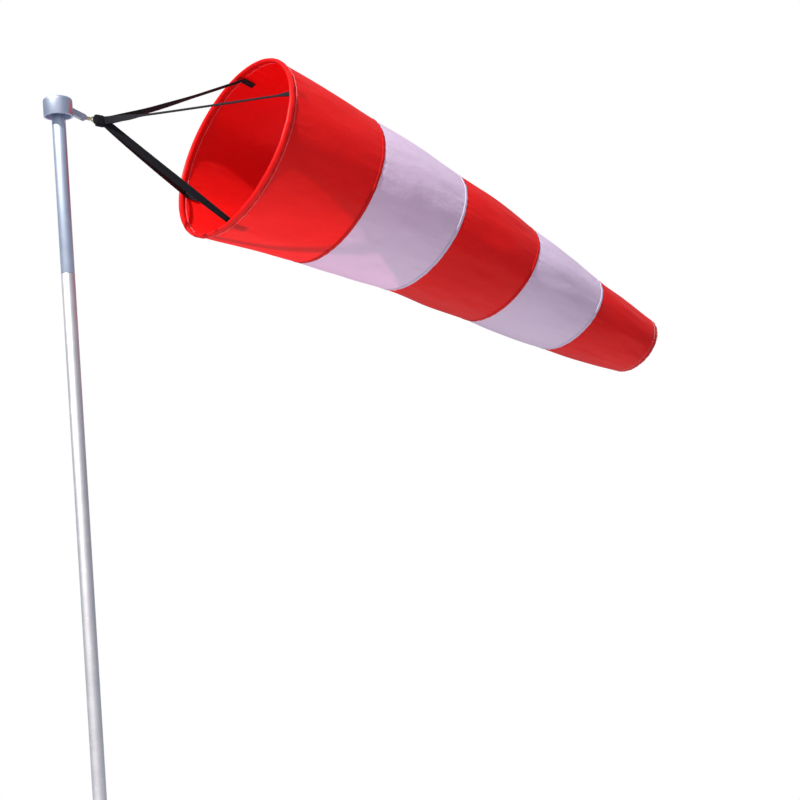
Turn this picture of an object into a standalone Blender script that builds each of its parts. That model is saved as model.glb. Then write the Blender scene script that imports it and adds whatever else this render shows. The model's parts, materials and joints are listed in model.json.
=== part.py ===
"""Windsock with pole: a two-piece pole, a cap that turns on a ball bearing, a cranked lug with a small
swivel, a bridle of four webbing legs, and a tapered sock of five cloth bands.

The origin is the centre of the pole's foot. +Z runs up the pole and the sock flies towards +X.
A droop is an angle below the horizontal in the XZ plane, which is a turn about +Y.
"""

import math

import bmesh
import bpy
from mathutils import Matrix, Vector

MM = 0.001

# Gaps between neighbouring pieces
FIT = 0.3 * MM          # faces that touch
RUN = 0.1 * MM          # a pin that turns in its hole
BALL_PLAY = 0.15 * MM   # balls in their raceways and pockets

# Pole
POLE_R = 10.0 * MM
POLE_WALL = 1.5 * MM
LOWER_POLE_LENGTH = 1.950
UPPER_POLE_LENGTH = 0.2464
FOOT_LIP = 4.0 * MM
FOOT_PLUG_DEPTH = 30.0 * MM
FERRULE_LENGTH = 0.120
FERRULE_WALL = 2.0 * MM
RIVET_R = 1.6 * MM
RIVET_HEAD_R = 3.0 * MM
RIVET_HEAD_HEIGHT = 1.0 * MM
RIVET_FROM_JOINT = 0.030

# Ball bearing in the cap
BEARING_BORE_R = 4.0 * MM
BEARING_R = 11.0 * MM
BEARING_WIDTH = 7.0 * MM
BALL_R = 1.98 * MM
BALL_COUNT = 7
CAGE_HALF_HEIGHT = 2.7 * MM
CAGE_HALF_THICKNESS = 0.7 * MM
RACEWAY_REACH = math.radians(50.0)

# Spindle plug in the pole's top, with its washer and screw
PLUG_DEPTH = 28.0 * MM
COLLAR_HEIGHT = 1.2 * MM
SHOULDER_R = 5.8 * MM
SCREW_R = 2.0 * MM
SCREW_LENGTH = 11.0 * MM
SCREW_HEAD_R = 3.6 * MM
SCREW_HEAD_HEIGHT = 2.2 * MM
WASHER_R = 5.6 * MM
WASHER_HEIGHT = 1.0 * MM

# Turning cap
CAP_R = 21.5 * MM
CAP_WALL = 2.8 * MM
CAP_ROOF = 2.5 * MM
CAP_HEIGHT = 28.0 * MM
CAP_EDGE_R = 5.0 * MM
BOSS_WALL = 2.8 * MM
CIRCLIP_HEIGHT = 1.0 * MM
CIRCLIP_WIDTH = 2.4 * MM
CIRCLIP_BITE = 1.0 * MM
CIRCLIP_GAP = 3.0 * MM

# Cranked lug on the cap's side, in the XZ plane
ARM_THICKNESS = 7.0 * MM
ARM_END_R = 4.6 * MM
ARM_FOOT_TOP = 3.0 * MM       # above the cap's mid height
ARM_FOOT_BOTTOM = -9.0 * MM
ARM_REACH = 19.0 * MM         # from the cap's side to the pin
ARM_DROP = 10.0 * MM          # pin below the cap's mid height
ARM_SCREW_R = 1.3 * MM
ARM_SCREW_HEAD_R = 2.2 * MM
ARM_SCREW_HEAD_HEIGHT = 1.4 * MM
ARM_SCREW_BITE = 4.5 * MM
ARM_SCREW_INSET = 3.2 * MM

# Swivel
TONGUE_THICKNESS = 2.4 * MM
TONGUE_R = 3.2 * MM
TONGUE_HALF_WIDTH = 2.56 * MM
PIN_R = 1.4 * MM
PIN_HEAD_R = 2.6 * MM
PIN_HEAD_HEIGHT = 0.9 * MM
SWIVEL_R = 2.9 * MM
SWIVEL_START = 5.2 * MM       # distances along the pull line from the pin
SWIVEL_WINDOW_START = 6.4 * MM
SWIVEL_WINDOW_LENGTH = 2.6 * MM
SWIVEL_PLATE = 2.0 * MM
WINDOW_HALF_WIDTH = 2.0 * MM
STUD_R = 1.1 * MM
STUD_HEAD_R = 1.7 * MM
STUD_HEAD_LENGTH = 1.1 * MM
EYE_R = 3.5 * MM
EYE_WIRE_R = 1.1 * MM

# Bridle
PULL_DROOP = math.radians(4.0)
BRIDLE_REACH = 0.268          # pin to the middle of the hoop
WEBBING_WIDTH = 12.0 * MM
WEBBING_THICKNESS = 1.2 * MM
LEG_SPACING = 2.2 * MM        # the legs' pitch where they leave the knot
KNOT_START = 12.8 * MM
KNOT_LENGTH = 20.0 * MM
KNOT_TOP = 8.5 * MM
KNOT_BOTTOM = -9.5 * MM
KNOT_HALF_WIDTH = 4.6 * MM
KNOT_FOLD = 1.5 * MM          # how far its folded edges round off
KNOT_MARGIN = 0.5 * MM        # knot beside the webbing that leaves it
LEG_NAMES = ("top", "near", "bottom", "far")
LEG_ANGLES = tuple(math.radians(a) for a in (-18.0, 66.0, 162.0, 252.0))
LEG_LAYERS = (0.5, -1.5, -0.5, 1.5)
LEG_POINTS = 15
TAB_LENGTH = 24.0 * MM
TAB_THICKNESS = 1.4 * MM

# Sock
MOUTH_R = 0.160
HOOP_DROOP = math.radians(20.0)
HOOP_WIRE_R = 2.6 * MM
CLOTH = 0.6 * MM
HEM_SLACK = 2.2 * MM          # the sleeve is this much wider than its rod
BAND_LENGTH = 0.2015
BAND_RADII = (0.1393, 0.1232, 0.1075, 0.0885, 0.0640)
BAND_DROOPS = tuple(math.radians(a) for a in (15.4, 17.3, 20.2, 21.0, 18.4))
SEAM_DROOPS = tuple(math.radians(a) for a in (22.7, 27.5, 30.3, 34.0, 29.0))
TUCK_PLAY = 2.0 * MM
TUCK_ANGLES = tuple(math.radians(a) for a in (13.0, 6.5, 0.0, -9.0))

# Facets round the turned pieces
SOCK_SIDES = 36
ROUND_SIDES = 24
SMALL_SIDES = 16
HEM_SECTION_SIDES = 8

# Heights that follow from the sizes above
LOWER_BOTTOM = FOOT_LIP + FIT
LOWER_TOP = LOWER_BOTTOM + LOWER_POLE_LENGTH
UPPER_BOTTOM = LOWER_TOP + FIT
POLE_TOP = UPPER_BOTTOM + UPPER_POLE_LENGTH
BORE_R = POLE_R - POLE_WALL
COLLAR_TOP = POLE_TOP + FIT + COLLAR_HEIGHT
SHOULDER_HEIGHT = 2 * CIRCLIP_HEIGHT + 3 * FIT   # keeps the boss in the cap above the collar
BEARING_BOTTOM = COLLAR_TOP + SHOULDER_HEIGHT + FIT
BEARING_TOP = BEARING_BOTTOM + BEARING_WIDTH
BEARING_MIDDLE = 0.5 * (BEARING_BOTTOM + BEARING_TOP)
BALL_PITCH_R = 0.5 * (BEARING_BORE_R + BEARING_R)
WASHER_BOTTOM = BEARING_TOP + FIT
SCREW_HEAD_BOTTOM = WASHER_BOTTOM + WASHER_HEIGHT + FIT
ROOF_UNDERSIDE = SCREW_HEAD_BOTTOM + SCREW_HEAD_HEIGHT + 2 * FIT
CAP_TOP = ROOF_UNDERSIDE + CAP_ROOF
CAP_BOTTOM = CAP_TOP - CAP_HEIGHT
CAP_MIDDLE = 0.5 * (CAP_TOP + CAP_BOTTOM)
CIRCLIP_TOP = BEARING_BOTTOM - FIT
CIRCLIP_BOTTOM = CIRCLIP_TOP - CIRCLIP_HEIGHT
SEAT_R = BEARING_R + FIT
BOSS_R = SEAT_R + BOSS_WALL
EYE_MIDDLE = SWIVEL_WINDOW_START + SWIVEL_WINDOW_LENGTH + SWIVEL_PLATE + FIT + EYE_R + EYE_WIRE_R
HOOP_SECTION_R = HOOP_WIRE_R + FIT + CLOTH
HOOP_R = MOUTH_R - HOOP_SECTION_R
HEM_INNER_HALF_LENGTH = HOOP_WIRE_R + HEM_SLACK
HEM_HALF_LENGTH = HEM_INNER_HALF_LENGTH + CLOTH
FIRST_BAND_R = HOOP_R + 0.5 * CLOTH
FACET_SAG = MOUTH_R * (1.0 - math.cos(math.pi / SOCK_SIDES))
LEG_START_HEIGHT = 0.5 * (KNOT_TOP - 0.5 * WEBBING_WIDTH - KNOT_MARGIN)


def clear_scene():
    for obj in list(bpy.data.objects):
        bpy.data.objects.remove(obj, do_unlink=True)


def collection(name):
    made = bpy.data.collections.new(name)
    bpy.context.scene.collection.children.link(made)
    return made


clear_scene()
PARTS = collection("windsock_with_pole")
CUTTERS = collection("cutters")
CUTTERS.hide_render = True


def material(name, color, roughness, metallic):
    mat = bpy.data.materials.new(name)
    mat.use_nodes = True
    shader = mat.node_tree.nodes["Principled BSDF"]
    shader.inputs["Base Color"].default_value = (*color, 1.0)
    shader.inputs["Roughness"].default_value = roughness
    shader.inputs["Metallic"].default_value = metallic
    return mat


BLUE_ALUMINIUM = material("blue_aluminium", (0.52, 0.62, 0.78), 0.32, 1.0)
GREY_ALUMINIUM = material("grey_aluminium", (0.60, 0.60, 0.62), 0.40, 1.0)
STEEL = material("steel", (0.55, 0.55, 0.60), 0.30, 1.0)
BRASS = material("brass", (0.62, 0.50, 0.28), 0.35, 1.0)
BLACK_PLASTIC = material("black_plastic", (0.03, 0.03, 0.03), 0.60, 0.0)
ROD_PLASTIC = material("rod_plastic", (0.80, 0.80, 0.78), 0.45, 0.0)
BLACK_WEBBING = material("black_webbing", (0.012, 0.012, 0.014), 0.80, 0.0)
RED_CLOTH = material("red_cloth", (0.72, 0.03, 0.02), 0.45, 0.0)
WHITE_CLOTH = material("white_cloth", (0.82, 0.76, 0.84), 0.50, 0.0)


def frame(name, parent, place, droop=0.0):
    """An empty on a joint's axis. The pieces of one moving body are its children."""
    empty = bpy.data.objects.new(name, None)
    PARTS.objects.link(empty)
    empty.parent = parent
    empty.location = place
    empty.rotation_euler = (0.0, droop, 0.0)
    return empty


def add(name, mesh, mat, parent=None, place=(0.0, 0.0, 0.0), turn=(0.0, 0.0, 0.0)):
    """Links a mesh as one named piece of the assembly."""
    obj = bpy.data.objects.new(name, mesh)
    PARTS.objects.link(obj)
    obj.parent = parent
    obj.location = place
    obj.rotation_euler = turn
    mesh.materials.append(mat)
    return obj


def as_cutter(obj):
    """Moves an object to the cutters, which the model shows only as wires."""
    PARTS.objects.unlink(obj)
    CUTTERS.objects.link(obj)
    obj.hide_render = True
    obj.display_type = "WIRE"
    return obj


def mesh_from(name, bm):
    mesh = bpy.data.meshes.new(name)
    bm.to_mesh(mesh)
    bm.free()
    return mesh


ALONG_X = (0.0, 0.5 * math.pi, 0.0)
ALONG_Y = (-0.5 * math.pi, 0.0, 0.0)


def turned(name, profile, mat, sides, ring=False, parent=None, place=(0, 0, 0), turn=(0, 0, 0)):
    """Spins a profile of (radius, height) points, listed down its outer side, about local Z."""
    count = len(profile)
    edges = [(i, i + 1) for i in range(count - 1)] + ([(count - 1, 0)] if ring else [])
    mesh = bpy.data.meshes.new(name)
    mesh.from_pydata([(r, 0.0, z) for r, z in profile], edges, [])
    obj = add(name, mesh, mat, parent, place, turn)
    screw = obj.modifiers.new("spin", "SCREW")
    screw.steps = screw.render_steps = sides
    screw.use_merge_vertices = True
    screw.merge_threshold = 0.00001
    screw.use_smooth_shade = True
    return obj


def rod_cutter(name, radius, length, parent, place, turn, sides=SMALL_SIDES):
    """A cylinder that cuts a hole, centred on its place along local Z."""
    bm = bmesh.new()
    bmesh.ops.create_cone(bm, cap_ends=True, segments=sides, radius1=radius, radius2=radius, depth=length)
    return as_cutter(add(name, mesh_from(name, bm), STEEL, parent, place, turn))


def box_cutter(name, size, parent, place, turn=(0.0, 0.0, 0.0)):
    bm = bmesh.new()
    bmesh.ops.create_cube(bm, size=1.0, matrix=Matrix.Diagonal((*size, 1.0)))
    return as_cutter(add(name, mesh_from(name, bm), STEEL, parent, place, turn))


def boolean(obj, other, operation="DIFFERENCE"):
    step = obj.modifiers.new(operation.lower(), "BOOLEAN")
    step.operation = operation
    step.object = other
    step.solver = "EXACT"


def plate(name, outline, thickness, mat, parent, place=(0.0, 0.0, 0.0)):
    """A flat plate in the XZ plane, from (x, z) points that run anticlockwise."""
    curve = bpy.data.curves.new(name, "CURVE")
    curve.dimensions = "2D"
    curve.fill_mode = "BOTH"
    curve.extrude = 0.5 * thickness
    spline = curve.splines.new("POLY")
    spline.points.add(len(outline) - 1)
    for point, (x, z) in zip(spline.points, outline):
        point.co = (x, z, 0.0, 1.0)
    spline.use_cyclic_u = True
    draft = bpy.data.objects.new(name + "_draft", curve)
    PARTS.objects.link(draft)
    evaluated = draft.evaluated_get(bpy.context.evaluated_depsgraph_get())
    bm = bmesh.new()
    bm.from_mesh(bpy.data.meshes.new_from_object(evaluated))
    bmesh.ops.remove_doubles(bm, verts=bm.verts, dist=0.000001)
    bmesh.ops.recalc_face_normals(bm, faces=bm.faces)
    bpy.data.objects.remove(draft, do_unlink=True)
    return add(name, mesh_from(name, bm), mat, parent, place, (0.5 * math.pi, 0.0, 0.0))


def arc(center, radius, start, end, steps):
    """Points along an arc in a plane, angles in radians, both ends included."""
    angles = [start + (end - start) * i / steps for i in range(steps + 1)]
    return [(center[0] + radius * math.cos(a), center[1] + radius * math.sin(a)) for a in angles]


def tube_profile(outer, inner, bottom, top):
    return [(inner, top), (outer, top), (outer, bottom), (inner, bottom)]


def screw_profile(shank_r, shank_length, head_r, head_height):
    """A pan-head screw, its head above z = 0 and its shank below."""
    edge = 0.3 * head_height
    return [(0.0, head_height), (head_r - edge, head_height), (head_r, head_height - edge), (head_r, 0.0),
            (shank_r, 0.0), (shank_r, -shank_length), (0.0, -shank_length)]


# ---------------------------------------------------------------- pole


def make_pole():
    plug_r = BORE_R - FIT
    turned("foot_plug", [(0.0, LOWER_BOTTOM + FOOT_PLUG_DEPTH), (plug_r, LOWER_BOTTOM + FOOT_PLUG_DEPTH),
                         (plug_r, FOOT_LIP), (POLE_R, FOOT_LIP), (POLE_R, 0.0), (0.0, 0.0)],
           BLACK_PLASTIC, ROUND_SIDES)
    lower = turned("lower_pole", tube_profile(POLE_R, BORE_R, LOWER_BOTTOM, LOWER_TOP),
                   GREY_ALUMINIUM, ROUND_SIDES, ring=True)
    upper = turned("upper_pole", tube_profile(POLE_R, BORE_R, UPPER_BOTTOM, POLE_TOP),
                   BLUE_ALUMINIUM, ROUND_SIDES, ring=True)
    half = 0.5 * FERRULE_LENGTH
    ferrule_wall = tube_profile(plug_r, plug_r - FERRULE_WALL, LOWER_TOP - half, LOWER_TOP + half)
    ferrule = turned("joint_ferrule", ferrule_wall, STEEL, ROUND_SIDES, ring=True)
    for name, tube, height in (("ferrule_rivet_lower", lower, LOWER_TOP - RIVET_FROM_JOINT),
                               ("ferrule_rivet_upper", upper, UPPER_BOTTOM + RIVET_FROM_JOINT)):
        make_rivet(name, (tube, ferrule), height)


def make_rivet(name, drilled, height):
    """A rivet through one side of a tube and the ferrule inside it, on the pole's +Y side."""
    reach = POLE_WALL + FIT + FERRULE_WALL
    turned(name, screw_profile(RIVET_R, reach, RIVET_HEAD_R, RIVET_HEAD_HEIGHT), STEEL, SMALL_SIDES,
           place=(0.0, POLE_R + FIT, height), turn=ALONG_Y)
    hole = rod_cutter(name + "_hole", RIVET_R + FIT, 2 * POLE_R, None, (0.0, POLE_R, height), ALONG_Y)
    for obj in drilled:
        boolean(obj, hole)


def make_spindle():
    """The plug in the pole's top: a stem in the tube, a collar on its end, and the bearing's spindle."""
    stem_r = BORE_R - FIT
    spindle_r = BEARING_BORE_R - FIT
    spindle_top = BEARING_TOP - FIT
    hole_r = SCREW_R + FIT
    hole_bottom = SCREW_HEAD_BOTTOM - SCREW_LENGTH - FIT
    shoulder_top = BEARING_BOTTOM - FIT
    profile = [(0.0, hole_bottom), (hole_r, hole_bottom), (hole_r, spindle_top), (spindle_r, spindle_top),
               (spindle_r, shoulder_top), (SHOULDER_R, shoulder_top), (SHOULDER_R, COLLAR_TOP),
               (POLE_R, COLLAR_TOP), (POLE_R, POLE_TOP + FIT), (stem_r, POLE_TOP + FIT),
               (stem_r, POLE_TOP - PLUG_DEPTH), (0.0, POLE_TOP - PLUG_DEPTH)]
    turned("spindle_plug", profile, GREY_ALUMINIUM, ROUND_SIDES)
    turned("spindle_washer", tube_profile(WASHER_R, hole_r, WASHER_BOTTOM, WASHER_BOTTOM + WASHER_HEIGHT),
           STEEL, SMALL_SIDES, ring=True)
    turned("spindle_screw", screw_profile(SCREW_R, SCREW_LENGTH, SCREW_HEAD_R, SCREW_HEAD_HEIGHT),
           STEEL, SMALL_SIDES, place=(0.0, 0.0, SCREW_HEAD_BOTTOM))


# ---------------------------------------------------------------- bearing


def raceway(side):
    """The groove's section, top to bottom, bulging to the given side of the ball circle."""
    return [(BALL_PITCH_R + side * x, BEARING_MIDDLE + z)
            for x, z in arc((0.0, 0.0), BALL_R + BALL_PLAY, RACEWAY_REACH, -RACEWAY_REACH, 4)]


def make_bearing(ball_turn, head_turn):
    inner_groove = raceway(-1.0)
    outer_groove = raceway(1.0)
    inner_land = inner_groove[0][0]
    outer_land = outer_groove[0][0]
    inner = [(BEARING_BORE_R, BEARING_TOP), (inner_land, BEARING_TOP), *inner_groove,
             (inner_land, BEARING_BOTTOM), (BEARING_BORE_R, BEARING_BOTTOM)]
    outer = [(outer_land, BEARING_TOP), (BEARING_R, BEARING_TOP), (BEARING_R, BEARING_BOTTOM),
             (outer_land, BEARING_BOTTOM), *reversed(outer_groove)]
    turned("bearing_inner_ring", inner, STEEL, SMALL_SIDES, ring=True)
    turned("bearing_outer_ring", outer, STEEL, ROUND_SIDES, ring=True, parent=head_turn,
           place=(0.0, 0.0, -CAP_MIDDLE))
    make_balls(ball_turn)


def make_balls(ball_turn):
    cage = turned("bearing_cage",
                  tube_profile(BALL_PITCH_R + CAGE_HALF_THICKNESS, BALL_PITCH_R - CAGE_HALF_THICKNESS,
                               -CAGE_HALF_HEIGHT, CAGE_HALF_HEIGHT),
                  BLACK_PLASTIC, 4 * BALL_COUNT, ring=True, parent=ball_turn)
    for i in range(BALL_COUNT):
        angle = 2.0 * math.pi * i / BALL_COUNT
        place = (BALL_PITCH_R * math.cos(angle), BALL_PITCH_R * math.sin(angle), 0.0)
        bm = bmesh.new()
        bmesh.ops.create_uvsphere(bm, u_segments=8, v_segments=6, radius=BALL_R)
        ball = add(f"bearing_ball_{i + 1}", mesh_from("ball", bm), STEEL, ball_turn, place)
        ball.data.shade_smooth()
        boolean(cage, rod_cutter(f"ball_pocket_{i + 1}", BALL_R + BALL_PLAY, 4 * BALL_R, ball_turn, place,
                                 (0.5 * math.pi, 0.0, angle + 0.5 * math.pi)))


# ---------------------------------------------------------------- head


def make_cap(head_turn):
    """A turned cup with a boss under its roof that holds the bearing."""
    edge = arc((CAP_R - CAP_EDGE_R, CAP_TOP - CAP_EDGE_R), CAP_EDGE_R, 0.5 * math.pi, 0.0, 5)
    skirt_r = CAP_R - CAP_WALL
    groove_r = SEAT_R + CIRCLIP_BITE
    groove_bottom = CIRCLIP_BOTTOM - FIT
    boss_bottom = groove_bottom - CIRCLIP_HEIGHT
    step_r = BEARING_R - CIRCLIP_BITE
    profile = [(0.0, CAP_TOP), *edge, (CAP_R, CAP_BOTTOM), (skirt_r, CAP_BOTTOM), (skirt_r, ROOF_UNDERSIDE),
               (BOSS_R, ROOF_UNDERSIDE), (BOSS_R, boss_bottom), (SEAT_R, boss_bottom),
               (SEAT_R, groove_bottom), (groove_r, groove_bottom), (groove_r, CIRCLIP_TOP + FIT),
               (SEAT_R, CIRCLIP_TOP + FIT),
               (SEAT_R, BEARING_TOP + FIT), (step_r, BEARING_TOP + FIT), (step_r, ROOF_UNDERSIDE),
               (0.0, ROOF_UNDERSIDE)]
    cap = turned("head_cap", profile, BLUE_ALUMINIUM, ROUND_SIDES, parent=head_turn,
                 place=(0.0, 0.0, -CAP_MIDDLE))
    outer = SEAT_R + CIRCLIP_BITE - FIT
    clip = turned("bearing_circlip", tube_profile(outer, outer - CIRCLIP_WIDTH, CIRCLIP_BOTTOM, CIRCLIP_TOP),
                  STEEL, ROUND_SIDES, ring=True, parent=head_turn, place=(0.0, 0.0, -CAP_MIDDLE))
    boolean(clip, box_cutter("circlip_gap", (2 * CIRCLIP_WIDTH, CIRCLIP_GAP, 4 * CIRCLIP_HEIGHT), head_turn,
                             (-outer, 0.0, CIRCLIP_BOTTOM - CAP_MIDDLE)))
    return cap


def arm_outline(pin):
    """The lug's side view: a foot on the cap, then a straight run down to a round end about the pin."""
    foot_x = CAP_R - CAP_WALL
    lean = math.atan2(pin[1] - 0.5 * (ARM_FOOT_TOP + ARM_FOOT_BOTTOM), pin[0] - CAP_R)
    across = Vector((-math.sin(lean), math.cos(lean)))
    end = arc(pin, ARM_END_R, lean - 0.5 * math.pi, lean + 0.5 * math.pi, 8)
    along = Vector((math.cos(lean), math.sin(lean)))
    top_edge = Vector(pin) + ARM_END_R * across
    low_edge = Vector(pin) - ARM_END_R * across
    top_corner = top_edge - along * ((top_edge.y - ARM_FOOT_TOP) / along.y)
    low_corner = low_edge - along * ((low_edge.y - ARM_FOOT_BOTTOM) / along.y)
    foot_low, foot_top = (foot_x, ARM_FOOT_BOTTOM), (foot_x, ARM_FOOT_TOP)
    return [foot_low, tuple(low_corner), *end, tuple(top_corner), foot_top], lean


def make_arm(head_turn, cap, pin):
    outline, lean = arm_outline(pin)
    arm = plate("cap_arm", outline, ARM_THICKNESS, STEEL, head_turn)
    boolean(arm, rod_cutter("arm_seat", CAP_R + FIT, 3 * CAP_HEIGHT, head_turn, (0, 0, 0), (0, 0, 0),
                            4 * ROUND_SIDES))
    slot_length = 2 * (ARM_END_R + TONGUE_R)
    slot_shift = 0.5 * slot_length - TONGUE_R - 2 * FIT
    slot_place = (pin[0] + slot_shift * math.cos(lean), 0.0, pin[1] + slot_shift * math.sin(lean))
    boolean(arm, box_cutter("arm_slot", (slot_length, TONGUE_THICKNESS + 2 * FIT, 4 * ARM_END_R), head_turn,
                            slot_place, (0.0, -lean, 0.0)))
    boolean(arm, rod_cutter("arm_pin_hole", PIN_R + RUN, 2 * ARM_THICKNESS, head_turn, (pin[0], 0.0, pin[1]),
                            ALONG_Y))
    inner_x = CAP_R - CAP_WALL
    for name, height in (("arm_screw_upper", ARM_FOOT_TOP - ARM_SCREW_INSET),
                         ("arm_screw_lower", ARM_FOOT_BOTTOM + ARM_SCREW_INSET)):
        turned(name, screw_profile(ARM_SCREW_R, CAP_WALL + 2 * FIT + ARM_SCREW_BITE, ARM_SCREW_HEAD_R,
                                   ARM_SCREW_HEAD_HEIGHT),
               STEEL, SMALL_SIDES, parent=head_turn, place=(inner_x - 2 * FIT, 0.0, height),
               turn=(0.0, -0.5 * math.pi, 0.0))
        hole_length = 2 * (CAP_WALL + ARM_SCREW_BITE + 3 * FIT)
        hole = rod_cutter(name + "_hole", ARM_SCREW_R + FIT, hole_length, head_turn,
                          (inner_x, 0.0, height), ALONG_X)
        boolean(arm, hole)
        boolean(cap, hole)


def make_swivel_pin(head_turn, pin):
    """A rivet through the lug's slotted end, with a head on each side."""
    half = 0.5 * ARM_THICKNESS + FIT
    outer = half + PIN_HEAD_HEIGHT
    turned("swivel_pin", [(0.0, outer), (PIN_HEAD_R, outer), (PIN_HEAD_R, half), (PIN_R, half),
                          (PIN_R, -half), (PIN_HEAD_R, -half), (PIN_HEAD_R, -outer), (0.0, -outer)],
           STEEL, SMALL_SIDES, parent=head_turn, place=(pin[0], 0.0, pin[1]), turn=ALONG_Y)


# ---------------------------------------------------------------- swivel


def make_swivel_body(swing):
    """A flat tongue on the pin that grows into a small frame with a window for the stud's head."""
    frame_end = SWIVEL_WINDOW_START + SWIVEL_WINDOW_LENGTH + SWIVEL_PLATE
    outline = [*arc((0.0, 0.0), TONGUE_R, 0.5 * math.pi, 1.5 * math.pi, 8),
               (SWIVEL_START + FIT, -TONGUE_HALF_WIDTH), (SWIVEL_START + FIT, TONGUE_HALF_WIDTH)]
    body = plate("swivel_body", outline, TONGUE_THICKNESS, BRASS, swing)
    barrel_profile = [(0.0, frame_end), (SWIVEL_R - FIT, frame_end), (SWIVEL_R, frame_end - FIT),
                      (SWIVEL_R, SWIVEL_START), (0.0, SWIVEL_START)]
    barrel = turned("swivel_barrel", barrel_profile, BRASS, SMALL_SIDES, parent=swing, turn=ALONG_X)
    boolean(body, as_cutter(barrel), "UNION")
    boolean(body, rod_cutter("tongue_hole", PIN_R + RUN, 3 * TONGUE_THICKNESS, swing, (0, 0, 0), ALONG_Y))
    window_middle = SWIVEL_WINDOW_START + 0.5 * SWIVEL_WINDOW_LENGTH
    boolean(body, box_cutter("swivel_window", (SWIVEL_WINDOW_LENGTH, 2 * WINDOW_HALF_WIDTH, 4 * SWIVEL_R),
                             swing, (window_middle, 0.0, 0.0)))
    boolean(body, rod_cutter("stud_hole", STUD_R + RUN, 3 * SWIVEL_PLATE, swing, (frame_end, 0.0, 0.0),
                             ALONG_X))


def make_swivel_eye(spin):
    """A round eye on a stud, whose head sits in the swivel's window."""
    head_end = SWIVEL_WINDOW_START + SWIVEL_WINDOW_LENGTH - FIT
    head_start = head_end - STUD_HEAD_LENGTH
    bpy.ops.mesh.primitive_torus_add(major_radius=EYE_R, minor_radius=EYE_WIRE_R, major_segments=SMALL_SIDES,
                                     minor_segments=8)
    ring = bpy.context.active_object
    mesh = ring.data.copy()
    bpy.data.objects.remove(ring, do_unlink=True)
    eye = add("swivel_eye", mesh, BRASS, spin, (EYE_MIDDLE, 0.0, 0.0), ALONG_Y)
    stud_end = EYE_MIDDLE - EYE_R
    stud_profile = [(0.0, stud_end), (STUD_R, stud_end), (STUD_R, head_end), (STUD_HEAD_R, head_end),
                    (STUD_HEAD_R, head_start), (0.0, head_start)]
    stud = turned("eye_stud", stud_profile, BRASS, SMALL_SIDES, parent=spin, turn=ALONG_X)
    boolean(eye, as_cutter(stud), "UNION")


# ---------------------------------------------------------------- bridle


def make_knot(spin):
    """The sewn end of the bridle: folded webbing on both cheeks of the eye, with a fold through it."""
    start, end = KNOT_START, KNOT_START + KNOT_LENGTH
    middle = 0.5 * (start + end)
    outline = [(start, KNOT_BOTTOM + KNOT_FOLD), (start + KNOT_FOLD, KNOT_BOTTOM),
               (middle, KNOT_BOTTOM + KNOT_FOLD), (end, -0.5 * WEBBING_WIDTH - KNOT_MARGIN), (end, KNOT_TOP),
               (middle, KNOT_TOP - KNOT_FOLD), (start, KNOT_TOP - 2 * KNOT_FOLD)]
    knot = plate("webbing_knot", outline, 2 * KNOT_HALF_WIDTH, BLACK_WEBBING, spin)
    clearance = EYE_WIRE_R + FIT
    room_profile = tube_profile(EYE_R + clearance, EYE_R - clearance, -clearance, clearance)
    room = turned("eye_room", room_profile, STEEL, SMALL_SIDES, ring=True, parent=spin,
                  place=(EYE_MIDDLE, 0.0, 0.0), turn=ALONG_Y)
    boolean(knot, as_cutter(room))


def hoop_point(angle, radius):
    """A point in the hoop's plane. The angle runs from the top towards the near side."""
    return Vector((0.0, -radius * math.sin(angle), radius * math.cos(angle)))


def tab_ends(leg):
    """The front and rear of a tab's middle line, just inside the first band's wall, in the hoop's frame."""
    rear, lean = seam_offset(0)
    angle = LEG_ANGLES[leg]
    front_edge = Vector((HEM_HALF_LENGTH, 0.0, 0.0)) + hoop_point(angle, FIRST_BAND_R)
    rear_edge = rear + Matrix.Rotation(lean, 3, "Y") @ hoop_point(angle, BAND_RADII[0])
    along = (rear_edge - front_edge).normalized()
    inward = along.cross(hoop_point(angle + 0.5 * math.pi, 1.0)).normalized()
    start = front_edge + inward * (CLOTH + FIT + FACET_SAG + 0.5 * TAB_THICKNESS)
    near_end = WEBBING_THICKNESS + FIT
    return start + along * near_end, start + along * (near_end + TAB_LENGTH)


def leg_route(leg, hoop_in_spin):
    """A leg's centre line and its width directions, from the knot to its tab inside the mouth."""
    start = Vector((KNOT_START + KNOT_LENGTH + FIT, LEG_LAYERS[leg] * LEG_SPACING, LEG_START_HEIGHT))
    clear_of_hem = hoop_point(LEG_ANGLES[leg], FACET_SAG + FIT + 0.5 * WEBBING_THICKNESS)
    end = hoop_in_spin @ (tab_ends(leg)[0] - clear_of_hem)
    end -= (end - start).normalized() * (WEBBING_THICKNESS + FIT)
    away = (hoop_in_spin.to_3x3() @ hoop_point(LEG_ANGLES[leg] + 0.5 * math.pi, 1.0)).normalized()
    upright = Vector((0.0, 0.0, 1.0))
    if away.dot(upright) < 0.0:
        away.negate()
    points, sides = [], []
    for i in range(LEG_POINTS):
        t = i / (LEG_POINTS - 1)
        points.append(start.lerp(end, t))
        sides.append(upright.slerp(away, t * t * (3.0 - 2.0 * t)))
    return points, sides


def leg_section(along, side):
    """Half-width and half-thickness vectors of the webbing, square to its run."""
    across = (side - along * side.dot(along)).normalized()
    return across * 0.5 * WEBBING_WIDTH, along.cross(across) * 0.5 * WEBBING_THICKNESS


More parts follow.
